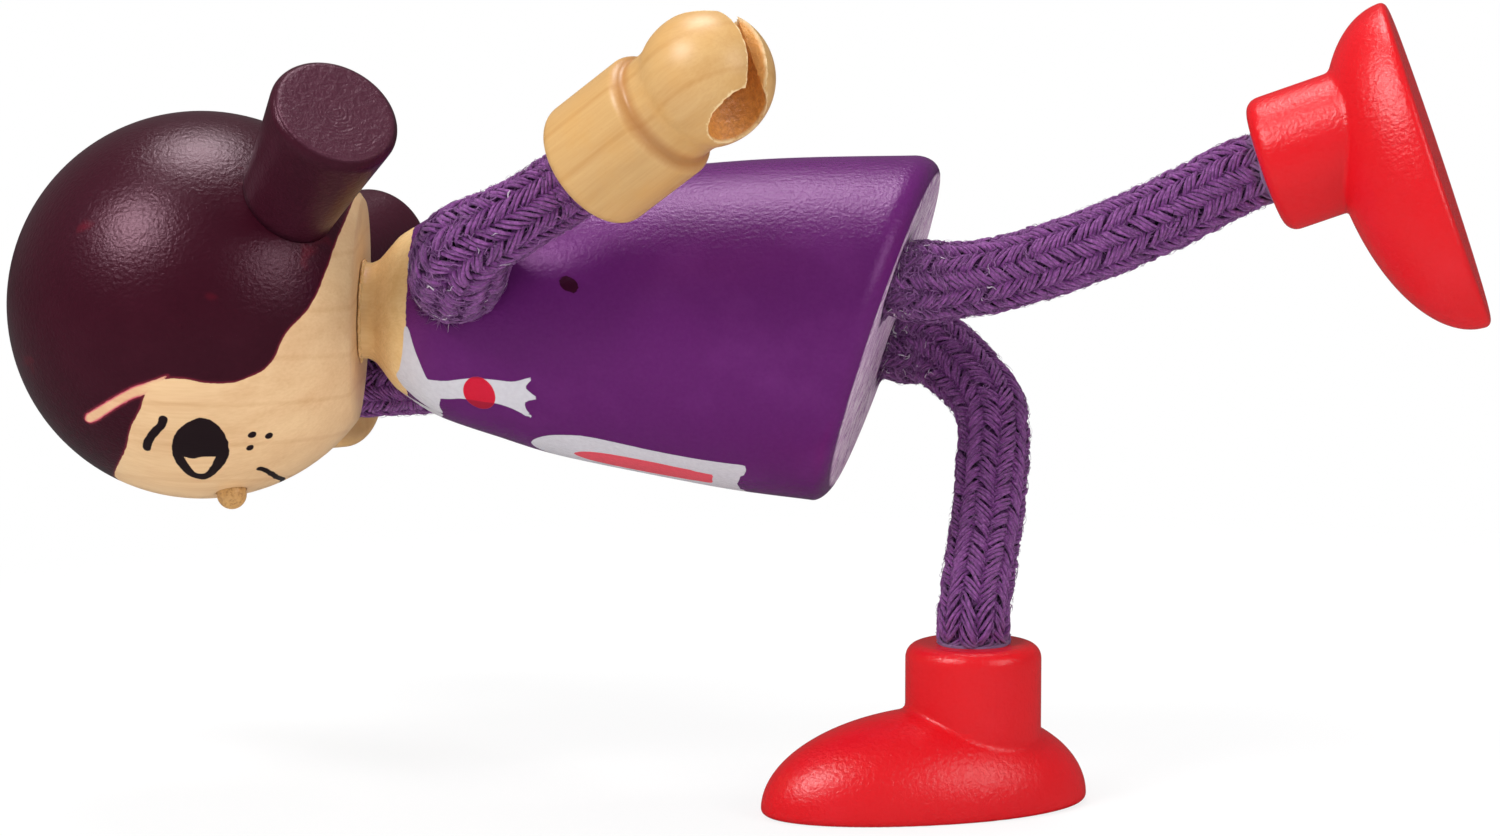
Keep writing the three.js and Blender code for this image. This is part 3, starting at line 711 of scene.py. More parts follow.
parting = edge_distance(head_flat, half_head, smooth_line(PARTING, 5, closed=True), on_ball)
parting = np.where(on_left, parting, -9.0)
note(head, hair_paint=np.minimum(hair, -parting), in_hair=hair, face_print=face_print, parting=parting)

head_paint, tree, surface = material("head_paint")
place = own_place(tree, head_place)
across_grain = own_place(tree, head_place @ Matrix.Rotation(math.radians(70), 4, "Z"))
wood = turned_wood(across_grain, "e6c394", "cd9f70", rings=0.25)
coat = sprayed_paint(place, "330a18", "451424", cloud=0.3, peel=2.0)
red_patches = ramp(noise(stretched(place, (1, 1, 0.6)), 0.28, 2.0), 0.68, 0.76, 0.0, 0.55)
hair_tone = mixed(red_patches, coat["Color"], "650d1e")
hair_mask = edge_mask(place, "hair_paint", 0.16)
thin_edge = ramp(read(tree, "hair_paint"), 0.02, 0.22, 1.0, 0.0)
hair_tone = mixed(times(thin_edge, 0.6), hair_tone, "8d2438")
in_parting = read(tree, "parting")
pink_stain = times(ramp(in_parting, 0.02, 0.17, 1.0, 0.12), ramp(in_parting, -0.1, 0.0))
pink_stain = times(pink_stain, ramp(read(tree, "in_hair"), -0.1, 0.5))
skin_tone = mixed(pink_stain, wood["Color"], "c94e66")
tone = mixed(hair_mask, skin_tone, hair_tone)
ink_mask = edge_mask(place, "face_print", 0.2)
tone = mixed(ink_mask, tone, "1d1416")
set_inputs(surface, {"Base Color": tone, "Roughness": blended(hair_mask, 0.36, 0.28),
                     "Specular IOR Level": 0.42, "Specular Tint": "ffcbe0"})
bumps(surface, blended(hair_mask, wood["Height"], coat["Height"]))
finish_piece(head, head_place, head_paint, "head", ["head_ball"])


# Nose peg
# A small dowel with a domed end, glued into the face and varnished over its end grain.
NOSE_DEPTH, NOSE_PROUD = 3, 1.35
nose_tip = HEAD_RADIUS + NOSE_PROUD
nose = turned_piece("nose_shell", [
    (0, HEAD_RADIUS - NOSE_DEPTH), (NOSE_RADIUS, HEAD_RADIUS - NOSE_DEPTH),
    (NOSE_RADIUS * 1.01, HEAD_RADIUS - 0.6), (NOSE_RADIUS, HEAD_RADIUS),
    *arc((0, nose_tip - NOSE_RADIUS), NOSE_RADIUS, 0, 90, 12)], 48)
nose_place = head_place @ nose_way
nose_wood, tree, surface = material("nose_wood")
place = own_place(tree, nose_place)
wood = turned_wood(place, "d9a968", "a8733a", rings=0.5)
pores = ramp(noise(place, 4.5, 3.0, 0.7), 0.52, 0.66)
set_inputs(surface, {"Base Color": mixed(pores, wood["Color"], "b07c46"), "Roughness": 0.38})
bumps(surface, times(pores, -0.03))
finish_piece(nose, nose_place, nose_wood, "head", ["nose_peg"])


# Hair bunches
# Two cones turned with a tenon, dipped in the hair paint and glued into the back of the head.
# The lathe left faint rings on their flat ends.
BUNCH_ROOT, BUNCH_END, BUNCH_PROUD, BUNCH_RIM = 3.8, 5.0, 10.6, 0.8
BUNCH_SIDE, BUNCH_SLANT, BUNCH_LOW = 63.5, math.radians(22), 2.3
GLUE_LINE = 0.04
bunch_seat = (math.sqrt(HEAD_RADIUS ** 2 - (BUNCH_LOW * math.cos(BUNCH_SLANT)) ** 2)
              - BUNCH_LOW * math.sin(BUNCH_SLANT))
bunch_end = bunch_seat + BUNCH_PROUD
for side, side_name in ((1, "left"), (-1, "right")):
    root = bunch_seat - 1
    flank = [(BUNCH_ROOT + (BUNCH_END - BUNCH_ROOT) * t ** 1.15, root + (bunch_end - BUNCH_RIM - root) * t)
             for t in np.linspace(0, 1, 30)]
    bunch = turned_piece(f"{side_name}_hair_bunch_shell", [
        (0, root), (BUNCH_ROOT, root), *flank[1:-1],
        *arc((BUNCH_END - BUNCH_RIM, bunch_end - BUNCH_RIM), BUNCH_RIM, 4, 88, 8),
        *[(r, bunch_end - 0.05 * (1 - r / 4)) for r in np.linspace(3.9, 0, 8)]], 128)
    bunch_way = in_mm(0, 0, -BUNCH_LOW) @ Matrix.Rotation(-side * math.radians(BUNCH_SIDE), 4, "Z") \
        @ Matrix.Rotation(-math.pi / 2 - BUNCH_SLANT, 4, "X")
    ball_centre = np.array(bunch_way.inverted() @ Vector((0, 0, 0))) / MM
    points = places_of(bunch)
    away = points[:, :2] - ball_centre[:2]
    seat = ball_centre[2] + np.sqrt((HEAD_RADIUS + GLUE_LINE) ** 2 - np.sum(away ** 2, axis=1))
    fall = np.clip((bunch_end - BUNCH_RIM - points[:, 2]) / (bunch_end - BUNCH_RIM - root), 0, 1)
    points[:, 2] += fall * (seat - root)
    move_points(bunch, points)
    note(bunch, out_of_head=points[:, 2] - seat)
    bunch_place = head_place @ bunch_way
    bunch_paint, tree, surface = material(f"{side_name}_bunch_paint")
    place = own_place(tree, bunch_place)
    coat = sprayed_paint(place, "36101d", "4e2231", cloud=0.3, peel=1.8)
    rings = add_node(tree, "ShaderNodeTexWave", {
        "Vector": place, "Scale": 0.9, "Distortion": 4.0, "Detail": 3.0, "Detail Scale": 0.5,
        "Detail Roughness": 0.6}, wave_type="RINGS", rings_direction="Z")
    crinkles = noise(place, 1.5, 5.0, 0.65)
    partly = ramp(noise(place, 0.35, 2.0), 0.45, 0.65)
    split = add_node(tree, "ShaderNodeSeparateXYZ", {"Vector": place})
    on_end = ramp(split.outputs["Z"], bunch_end - 0.2, bunch_end - 0.08)
    seat_shade = ramp(read(tree, "out_of_head"), 0.1, 0.7, 0.75, 0.0)
    tone = mixed(times(on_end, 0.3), coat["Color"], "5e3647")
    tone = mixed(seat_shade, tone, "1c050e")
    set_inputs(surface, {"Base Color": tone, "Roughness": 0.3, "Specular IOR Level": 0.4,
                         "Specular Tint": "ffc4da"})
    end_height = plus(times(times(rings.outputs["Fac"], partly), 0.02), times(crinkles, 0.14))
    bumps(surface, plus(coat["Height"], times(end_height, on_end)))
    finish_piece(bunch, bunch_place, bunch_paint, "head", [f"{side_name}_hair_bunch"])


# Hands
# Each is turned as a cuff, a groove and a ball, then bored across and slotted to clip on a bar.
# The drill has torn the edges a little, and the cut wood inside is a deeper orange under the varnish.
HAND_RADIUS, CUFF_EDGE, CUFF_HOLE_DEPTH = 5.07, 1.1, 6
HAND_CUFF_LENGTH, SHOULDER_EDGE = 7.5, 0.9
GROOVE_RADIUS, GROOVE_AT = 4.4, 8.6
HAND_BALL_AT = 12.8
CLIP_RADIUS, CLIP_SLOT = 2.42, 2.08
CLIP_AT = -HAND_BALL_AT - 1.5   # the bore lies past the ball's middle
CUTTER_HALF, SLOT_DEPTH, TORN = 7, 8, 0.07
HANDS = {
    "left": ((-29.1, -8, 49.55), (-0.689, 0.456, -0.564), (-0.298, 0.531, 0.793)),
    "right": ((-49.6, 27.6, 28.8), (0.84, -0.52, 0.15), (0.52, 0.84, 0.0)),
}


def aimed(mouth, out, across):
    """The frame of a cuff: its mouth in mm, the way the cord leaves it as Z, and a way across it as X"""
    z = Vector(out).normalized()
    x = Vector(across)
    x = (x - x.dot(z) * z).normalized()
    turn = Matrix((x, z.cross(x), z)).transposed().to_4x4()
    return in_mm(*mouth) @ turn


ball_angle = math.degrees(math.acos(GROOVE_RADIUS / HAND_RADIUS))
ball_start = HAND_BALL_AT - HAND_RADIUS * math.sin(math.radians(ball_angle))
hand_outline = [
    *arc((0, -HAND_BALL_AT), HAND_RADIUS, -90, ball_angle - 3, 40),
    (GROOVE_RADIUS + 0.06, -ball_start + 0.05), (GROOVE_RADIUS - 0.03, -ball_start + 0.45),
    (GROOVE_RADIUS - 0.05, -GROOVE_AT - 0.35), (GROOVE_RADIUS - 0.05, -GROOVE_AT),
    (GROOVE_RADIUS, -GROOVE_AT + 0.12),
    *arc((HAND_RADIUS - SHOULDER_EDGE, -HAND_CUFF_LENGTH), SHOULDER_EDGE, -68, 0, 8),
    *[(HAND_RADIUS, -h) for h in np.linspace(HAND_CUFF_LENGTH - 0.4, CUFF_EDGE + 0.4, 12)],
    *arc((HAND_RADIUS - CUFF_EDGE, -CUFF_EDGE), CUFF_EDGE, 0, 90, 10),
    (3.6, -0.02), (0, -0.02),
]


def roughen(cutter, ways, chance):
    """Moves a cutter's points a little along their ways out of it, so that it leaves a torn edge"""
    points = places_of(cutter)
    shifts = np.array([min(TORN, max(-TORN, chance.gauss(0, TORN / 2))) for _ in points])
    move_points(cutter, points + ways(points) * shifts[:, None])


def bore_ways(points):
    """Out from the bore's axis"""
    return points * (1 / CLIP_RADIUS, 1 / CLIP_RADIUS, 0)


def slot_ways(points):
    """Out from the slot's two walls"""
    aside = points[:, 1:2]
    return (np.abs(aside) > CLIP_SLOT / 2 - 0.01) * np.sign(aside) * (0, 1, 0)


hand_places = {}
for side_name, (mouth, out, across) in HANDS.items():
    chance = random.Random(f"{side_name} hand")
    hand_place = aimed(mouth, out, across)
    hand_places[side_name] = hand_place
    hand = turned_piece(f"{side_name}_hand_shell", hand_outline, 112)
    wall = [(CLIP_RADIUS, h) for h in np.linspace(-CUTTER_HALF, CUTTER_HALF, 57)]
    bore = turned_piece("bore", [(0, -CUTTER_HALF), *wall, (0, CUTTER_HALF)], 64)
    roughen(bore, bore_ways, chance)
    bore.data.transform(in_mm(0, 0, CLIP_AT) @ Matrix.Rotation(math.pi / 2, 4, "Y"))
    take_out(hand, bore)
    deselect()
    bpy.ops.mesh.primitive_cube_add(size=1)
    slot = bpy.context.object
    bpy.ops.object.mode_set(mode="EDIT")
    bpy.ops.mesh.subdivide(number_cuts=40)
    bpy.ops.object.mode_set(mode="OBJECT")
    slot_size = Matrix.Diagonal((2 * CUTTER_HALF * MM, CLIP_SLOT * MM, SLOT_DEPTH * MM, 1))
    slot.data.transform(in_mm(0, 0, CLIP_AT - SLOT_DEPTH / 2) @ slot_size)
    roughen(slot, slot_ways, chance)
    take_out(hand, slot)
    drill(hand, CORD_HOLE_RADIUS, 2 * CUFF_HOLE_DEPTH, Matrix.Identity(4))
    points = places_of(hand)
    from_bore = np.hypot(points[:, 1], points[:, 2] - CLIP_AT) - CLIP_RADIUS
    from_slot = np.where(points[:, 2] < CLIP_AT, np.abs(points[:, 1]) - CLIP_SLOT / 2, 9.0)
    from_middle = np.hypot(np.hypot(points[:, 0], points[:, 1]), points[:, 2] + HAND_BALL_AT)
    note(hand, from_cut=np.minimum(from_bore, from_slot), below_skin=HAND_RADIUS - from_middle)
    hand_wood, tree, surface = material(f"{side_name}_hand_wood")
    place = own_place(tree, hand_place)
    wood = turned_wood(place, "cfa66d", "bb894b", rings=0.3)
    split = add_node(tree, "ShaderNodeSeparateXYZ", {"Vector": place})
    groove = ramp(sums("ABSOLUTE", plus(split.outputs["Z"], GROOVE_AT - 0.1)), 0.15, 0.8, 0.6, 0.0)
    amber = ramp(noise(place, 0.32, 4.0, 0.6), 0.45, 0.75, 0.0, 0.55)
    tone = mixed(amber, wood["Color"], "cd9a55")
    specks = ramp(noise(place, 5.0, 3.0, 0.7), 0.56, 0.72, 0.0, 0.35)
    tone = mixed(specks, tone, "c4935a")
    tone = mixed(groove, tone, "a8692f")
    torn = plus(read(tree, "from_cut"), times(noise(place, 2.6, 4.0, 0.7), -0.7))
    tone = mixed(ramp(torn, -0.34, -0.22, 0.7, 0.0), tone, "f0d7a6")
    inside_ball = ramp(split.outputs["Z"], -CUFF_HOLE_DEPTH - 1, -CUFF_HOLE_DEPTH - 2)
    cut_share = times(ramp(read(tree, "below_skin"), 0.05, 0.35), ramp(read(tree, "from_cut"), 0.25, 0.05))
    cut_tone = mixed(ramp(noise(place, 3.0, 4.0, 0.7), 0.35, 0.65), "dc9648", "b97434")
    # The slot's walls are painted lighter, a painted highlight for the light that reaches into the slot
    slot_painted_light = ramp(split.outputs["Z"], CLIP_AT - 2.4, CLIP_AT - 1.6, 0.8, 0.0)
    cut_tone = mixed(slot_painted_light, cut_tone, "ecae62")
    tone = mixed(times(cut_share, inside_ball), tone, cut_tone)
    set_inputs(surface, {"Base Color": tone, "Roughness": 0.4})
    rough_cut = times(times(noise(place, 4.0, 3.0, 0.7), cut_share), 0.12)
    bumps(surface, plus(wood["Height"], rough_cut))
    finish_piece(hand, hand_place, hand_wood, f"{side_name}_hand", [f"{side_name}_hand"])


# Shoes
# A domed foot with a round cuff, turned and carved from one block and sprayed glossy red,
# with a flat sole. The paint fills the crease round the cuff.
SHOE_HEIGHT, SHOE_CUFF_RADIUS = 12.5, 5.22
DOME_HEIGHT, DOME_HALF_WIDTH = 7.7, 7.3
DOME_TOE, DOME_HEEL, CUFF_FROM_HEEL = 14.2, 12, 9.1
STANDING_YAW = math.radians(-70)
raised_out, raised_toe = Vector((-0.93, 0.136, -0.341)).normalized(), Vector((0.31, -0.396, -0.87))
SHOE_PLACES = {
    "left": aimed((21.7, -1.4, 49.1), raised_out, raised_out.cross(raised_toe)),
    "right": in_mm(0, 0, SHOE_HEIGHT) @ Matrix.Rotation(STANDING_YAW, 4, "Z"),
}
SOLE_EDGE = 0.06                # as a share of the dome
CUFF_LOW = 3 - SHOE_HEIGHT      # the cuff starts inside the dome
dome = [(math.cos(a), SOLE_EDGE + (1 - SOLE_EDGE) * math.sin(a)) for a in np.linspace(0.04, math.pi / 2, 60)]
for side_name, shoe_place in SHOE_PLACES.items():
    shoe = turned_piece(f"{side_name}_shoe_shell", [
        *[(r, 0) for r in np.linspace(0, 1 - SOLE_EDGE, 20)],
        *arc((1 - SOLE_EDGE, SOLE_EDGE), SOLE_EDGE, -60, 0, 4), *dome], 144)
    points = places_of(shoe)
    ahead = np.where(points[:, 1] < 0, DOME_TOE, DOME_HEEL)
    points = np.column_stack([points[:, 0] * DOME_HALF_WIDTH,
                              points[:, 1] * ahead - (DOME_HEEL - CUFF_FROM_HEEL),
                              points[:, 2] * DOME_HEIGHT - SHOE_HEIGHT])
    move_points(shoe, points)
    cuff = turned_piece("cuff", [
        (0, CUFF_LOW), (SHOE_CUFF_RADIUS, CUFF_LOW),
        *[(SHOE_CUFF_RADIUS, h) for h in np.linspace(CUFF_LOW + 0.5, -CUFF_EDGE - 0.3, 12)],
        *arc((SHOE_CUFF_RADIUS - CUFF_EDGE, -CUFF_EDGE), CUFF_EDGE, 0, 90, 10), (0, 0)], 128)
    join = shoe.modifiers.new("cuff", "BOOLEAN")
    join.operation, join.solver, join.object = "UNION", "EXACT", cuff
    skin = shoe.modifiers.new("skin", "REMESH")
    skin.mode, skin.voxel_size = "VOXEL", 0.2 * MM
    soften = shoe.modifiers.new("soften", "SMOOTH")
    soften.factor, soften.iterations = 0.5, 3
    bpy.context.view_layer.objects.active = shoe
    for change in ("cuff", "skin", "soften"):
        bpy.ops.object.modifier_apply(modifier=change)
    bpy.data.objects.remove(cuff)
    points = places_of(shoe)
    points[:, 2] = np.maximum(points[:, 2], -SHOE_HEIGHT)
    move_points(shoe, points)
    drill(shoe, CORD_HOLE_RADIUS, 2 * CUFF_HOLE_DEPTH, Matrix.Identity(4))
    shoe_paint, tree, surface = material(f"{side_name}_shoe_paint")
    place = own_place(tree, shoe_place)
    coat = sprayed_paint(place, "d30d17", "d8202d", cloud=0.35, peel=2.4)
    set_inputs(surface, {"Base Color": coat["Color"], "Roughness": 0.27, "Specular IOR Level": 0.45})
    bumps(surface, coat["Height"])
    finish_piece(shoe, shoe_place, shoe_paint, f"{side_name}_foot", [f"{side_name}_shoe"], 50)


# Limb cords
# Braided cotton sleeves over bendable wire: twelve strands of three yarns each way, two over and two
# under, so that the cord shows columns of chevrons. The ends are glued into the wood, and fray there.
CORD_SEAT = 0.3                 # left free at the end of its hole
ARM_BENDS, LEG_BENDS, CUFF_BEND = (1.2, 6, 12), (1.2, 7, 15), 0.6
ROUTE_LEAD, CUFF_LEAD = 3, 2    # how far it runs on straight from the wood and from the cuff
LEFT_ARM_POINTS = [(-38.5, -5.8, 43.7), (-34.8, -7.6, 45.8)]
RIGHT_ARM_POINTS = [(-40.3, 20.6, 30.6), (-43.6, 24.6, 29.6)]
LEFT_LEG_POINTS = [(1.8, 0, 40.9), (7.9, -0.4, 42.8), (14.6, -0.9, 45.7)]
RIGHT_LEG_POINTS = [(-0.8, 13.5, 32.1), (1.7, 10.4, 29.1), (1.5, 6.1, 23.3)]
STRANDS = 12                    # each way round
YARNS = (-1, 0, 1)              # in a strand
BRAID_RADIUS = 2.45
WEAVE_DEPTH = 0.25
YARN_WIDE, YARN_THICK = 0.150, 0.165
YARN_STEP = 0.33                # between two rings of points
YARN_SIDES = 6
CORE_RADIUS = 2.14
FUZZ_PER_MM = 60
ROOT_FIBRES, MAT_FIBRES, MAT_REACH = 260, 900, 2.2
ROUTE_STEPS = 60                # between two points of a route
PAST_WOOD = 2.5                 # how far a sleeve goes on into the wood and the cuff
# A tube's map starts at a mark that tells its paint what it is. The yarns' marks lie between the
# core's and the fuzz's
CORE, FUZZ, TUFT, SPECK, GLUE = -50.0, 500.0, 700.0, 900.0, 1100.0
# Where a cord is bent over or frayed it is fuller: by how much of its width, where, how far along,
# and how far its middle is pushed over
NEAR_ARM_SWELL = (0.35, 3.6, 4.6, (0.6, 0, 0.1))
HIP_SWELL = (0.11, 2.2, 2.6, (0, 0, 0))
NO_SWELL = (0, 0, 1, (0, 0, 0))


def spline_points(points, steps):
    """Points of a centripetal curve through the given ones, the ends carried on straight"""
    points = [np.array(p, float) for p in points]
    padded = [2 * points[0] - points[1], *points, 2 * points[-1] - points[-2]]
    line = []
    for i in range(len(points) - 1):
        p0, p1, p2, p3 = padded[i:i + 4]
        d0, d1, d2 = (math.sqrt(np.linalg.norm(b - a)) for a, b in ((p0, p1), (p1, p2), (p2, p3)))
        slope_in = ((p1 - p0) / d0 - (p2 - p0) / (d0 + d1) + (p2 - p1) / d1) * d1
        slope_out = ((p2 - p1) / d1 - (p3 - p1) / (d1 + d2) + (p3 - p2) / d2) * d1
        for step in range(steps):
            t = step / steps
            line.append(p1 + slope_in * t + (-3 * p1 + 3 * p2 - 2 * slope_in - slope_out) * t ** 2
                        + (2 * p1 - 2 * p2 + slope_in + slope_out) * t ** 3)
    line.append(points[-1])
    return np.array(line)


class Route:
    """A cord's middle line, with a frame that doesn't twist, read by the length from the wood"""

    def __init__(self, root, root_out, depth, points, cuff_place, lead, swell):
        self.swell = swell
        mouth = np.array(cuff_place.to_translation()) / MM
        out = np.array(cuff_place.to_3x3() @ Vector((0, 0, 1)))
        root, root_out = np.array(root), np.array(root_out)
        self.line = spline_points([root - root_out * depth, root, root + root_out * lead, *points,
                                   mouth + out * CUFF_LEAD, mouth,
                                   mouth + out * (CORD_SEAT - CUFF_HOLE_DEPTH)], ROUTE_STEPS)
        steps = np.linalg.norm(np.diff(self.line, axis=0), axis=1)
        self.lengths = np.concatenate([[0], np.cumsum(steps)]) - depth
        self.line = self.line + self.bulge(self.lengths)[:, None] * np.array(swell[3])
        self.mouth_at = self.lengths[-1] - (CUFF_HOLE_DEPTH - CORD_SEAT)
        tangents = np.gradient(self.line, self.lengths, axis=0)
        self.tangents = tangents / np.linalg.norm(tangents, axis=1)[:, None]
        first = np.cross(self.tangents[0], [0.3, 0.2, 0.9])
        first /= np.linalg.norm(first)
        normals = [first]
        for tangent in self.tangents[1:]:
            carried = normals[-1] - (normals[-1] @ tangent) * tangent
            normals.append(carried / np.linalg.norm(carried))
        self.normals = np.array(normals)
        self.sides = np.cross(self.tangents, self.normals)

    def bulge(self, lengths):
        """How much of the swell there is at a length, from 0 to 1"""
        _, at, reach, _ = self.swell
        return np.exp(-((lengths - at) / reach) ** 2) * np.clip((lengths + 0.3) / 0.9, 0, 1)

    def read(self, rows, lengths):
        return np.column_stack([np.interp(lengths, self.lengths, rows[:, i]) for i in range(3)])

    def surface(self, lengths, angles, radii):
        """Places round the line, with the ways out of it"""
        out = (np.cos(angles)[:, None] * self.read(self.normals, lengths)
               + np.sin(angles)[:, None] * self.read(self.sides, lengths))
        out /= np.linalg.norm(out, axis=1)[:, None]
        return self.read(self.line, lengths) + out * np.asarray(radii)[:, None], out


class Tubes:
    """Gathers many thin tubes into one mesh"""

    def __init__(self):
        self.points, self.faces, self.corners, self.marks, self.floats = [], [], [], [], []
        self.count = 0

    def add(self, centres, outs, wide, thick, sides, marks, start, along, floats=None):
        """One tube: centres, the ways out of the cord, its half width and half thickness, and its marks.
        floats tells from -1 to 1 how far the yarn lies under or over the others"""
        rows = len(centres)
        ahead = np.gradient(centres, axis=0)
        ahead /= np.maximum(np.linalg.norm(ahead, axis=1), 1e-9)[:, None]
        across = np.cross(ahead, outs)
        across /= np.maximum(np.linalg.norm(across, axis=1), 1e-9)[:, None]
        up = np.cross(across, ahead)
        turns = 2 * np.pi * np.arange(sides) / sides
        ring = (centres[:, None, :]
                + across[:, None, :] * (np.cos(turns)[None, :, None] * np.asarray(wide).reshape(-1, 1, 1))
                + up[:, None, :] * (np.sin(turns)[None, :, None] * np.asarray(thick).reshape(-1, 1, 1)))
        self.points.append(ring.reshape(-1, 3))
        self.marks.append(np.repeat(marks, sides))
        self.floats.append(np.repeat(np.zeros(rows) if floats is None else floats, sides))
        i, j = np.meshgrid(np.arange(rows - 1), np.arange(sides), indexing="ij")
        i, j = i.ravel(), j.ravel()
        after = (j + 1) % sides
        quads = np.column_stack([i * sides + j, i * sides + after, (i + 1) * sides + after,
                                 (i + 1) * sides + j]) + self.count
        self.faces.extend(quads.tolist())
        u, v = start + along, np.arange(sides + 1) / sides
        self.corners.append(np.column_stack([u[i], v[j], u[i], v[j + 1], u[i + 1], v[j + 1], u[i + 1], v[j]]))
        for row, order in ((0, -1), (rows - 1, 1)):
            cap = (row * sides + np.arange(sides) + self.count)[::order]
            self.faces.append(cap.tolist())
            self.corners.append(np.tile([u[row], 0.5], sides)[None, :])
        self.count += rows * sides

    def mesh(self, name):
        """The mesh, with its yarn map and each point's length from the wood"""
        made = bpy.data.meshes.new(name)
        made.from_pydata((np.concatenate(self.points) * MM).tolist(), [], self.faces)
        layer = made.uv_layers.new(name="yarn")
        layer.data.foreach_set("uv", np.concatenate([c.ravel() for c in self.corners]))
        for name, rows in (("from_wood", self.marks), ("float", self.floats)):
            attribute = made.attributes.new(name, "FLOAT", "POINT")
            attribute.data.foreach_set("value", np.concatenate(rows).astype(np.float32))
        return made


def weave(angles):
    """How far a yarn stands out or in at an angle round the cord: out over two, in under two"""
    wave = np.cos(STRANDS / 2 * angles - np.pi / 4)
    return np.tanh(1.3 * wave) / math.tanh(1.3)


def fullness(route, lengths):
    """The braid is drawn in a little where it enters the wood and the cuff, and swells in a sharp bend"""
    near_wood = np.clip(1 - lengths / 1.0, 0, 1)
    near_cuff = np.clip(1 - (route.mouth_at - lengths) / 1.0, 0, 1)
    lumps = 0.010 * np.sin(lengths * 1.3 + route.mouth_at) + 0.006 * np.sin(lengths * 2.9)
    drawn_in = 0.025 * np.maximum(near_wood, near_cuff)
    return (1 - drawn_in) * (1 + route.swell[0] * route.bulge(lengths) + lumps)


def add_fibre(tubes, route, lengths, angles, radii, thick, mark):
    """One thin tapering fibre; its mark tells the material what it is"""
    centres, outs = route.surface(lengths, angles, radii)
    share = np.linspace(0, 1, len(lengths))
    tubes.add(centres, outs, thick * (1.1 - share), thick * (1.1 - share), 3, lengths, mark, share)


def add_curl(tubes, route, at, turn, size, rise, thick, mark, chance):
    """A curled fibre on the braid, from a length and an angle round it, of so many millimetres"""
    bends = 6
    heading, lengths, angles = chance.uniform(0, math.tau), [at], [turn]
    for _ in range(bends):
        heading += chance.uniform(-0.9, 0.9)
        lengths.append(lengths[-1] + math.cos(heading) * size / bends)
        angles.append(angles[-1] + math.sin(heading) * size / bends / BRAID_RADIUS)
    lengths = np.clip(lengths, -2, route.mouth_at + 2)
    arch = np.sin(np.linspace(0.1, 0.8, bends + 1) * math.pi)
    radii = (BRAID_RADIUS + WEAVE_DEPTH + 0.03) * fullness(route, lengths) + rise * arch
    add_fibre(tubes, route, lengths, np.array(angles), radii, thick, mark + 10 * (turn % math.tau))


def fray(tubes, route, chance):
    """Fibres and specks of glue round a cord's root, lying on the wood"""
    share = np.linspace(0, 1, 4)
    for _ in range(ROOT_FIBRES):
        turn, reach = chance.uniform(0, math.tau), chance.uniform(0.15, 1.0) ** 2
        angles = turn + chance.uniform(-0.35, 0.35) * share
        full = fullness(route, np.zeros(1))[0]
        radii = BRAID_RADIUS * full + 0.1 + (0.25 + 0.8 * reach) * share
        outs = route.surface(np.zeros(4), angles, radii)[1]
        rise = chance.uniform(0.05, 0.9) * (1 - reach)
        lengths = route.wood_level(outs * radii[:, None]) + 0.06 + rise * (1 - 0.6 * share)
        kind = chance.random()
        mark = SPECK if kind > 0.93 else TUFT if kind > 0.45 else FUZZ
        add_fibre(tubes, route, lengths, angles, radii, chance.uniform(0.025, 0.065), mark + 10 * turn)


def mat(tubes, route, start, end, chance):
    """Fibres matted on a stretch of the braid, fewer and fewer away from the wood"""
    reach = MAT_REACH * (1 + 2 * route.swell[0])
    near, far = math.exp(-max(start, 0) / reach), math.exp(-min(end, route.mouth_at) / reach)
    for _ in range(int(MAT_FIBRES * reach / MAT_REACH * (near - far))):
        at, turn = -reach * math.log(chance.uniform(far, near)), chance.uniform(0, math.tau)
        kind = chance.random()
        mark = SPECK if kind > 0.97 else TUFT if kind > 0.5 else FUZZ
        add_curl(tubes, route, at, turn, chance.uniform(0.4, 1.3), chance.uniform(0.0, 0.12),
                 chance.uniform(0.04, 0.10), mark, chance)


def glue_ring(tubes, route, chance):
    """The bead of glue round a cord where it enters its cuff"""
    turns = np.linspace(0, math.tau * 1.02, 64)
    wander = chance.uniform(0, 9)
    lengths = (route.mouth_at - 0.06 - 0.05 * np.sin(turns * 3 + wander)
               - 0.04 * np.sin(turns * 7 + 2 * wander))
    radii = (BRAID_RADIUS + 0.24) * (1 + 0.012 * np.sin(turns * 5 + wander))
    centres, outs = route.surface(lengths, turns, radii)
    size = 0.17 + 0.04 * np.sin(turns * 4 + wander)
    tubes.add(centres, outs, size, size, 8, lengths, GLUE, turns)


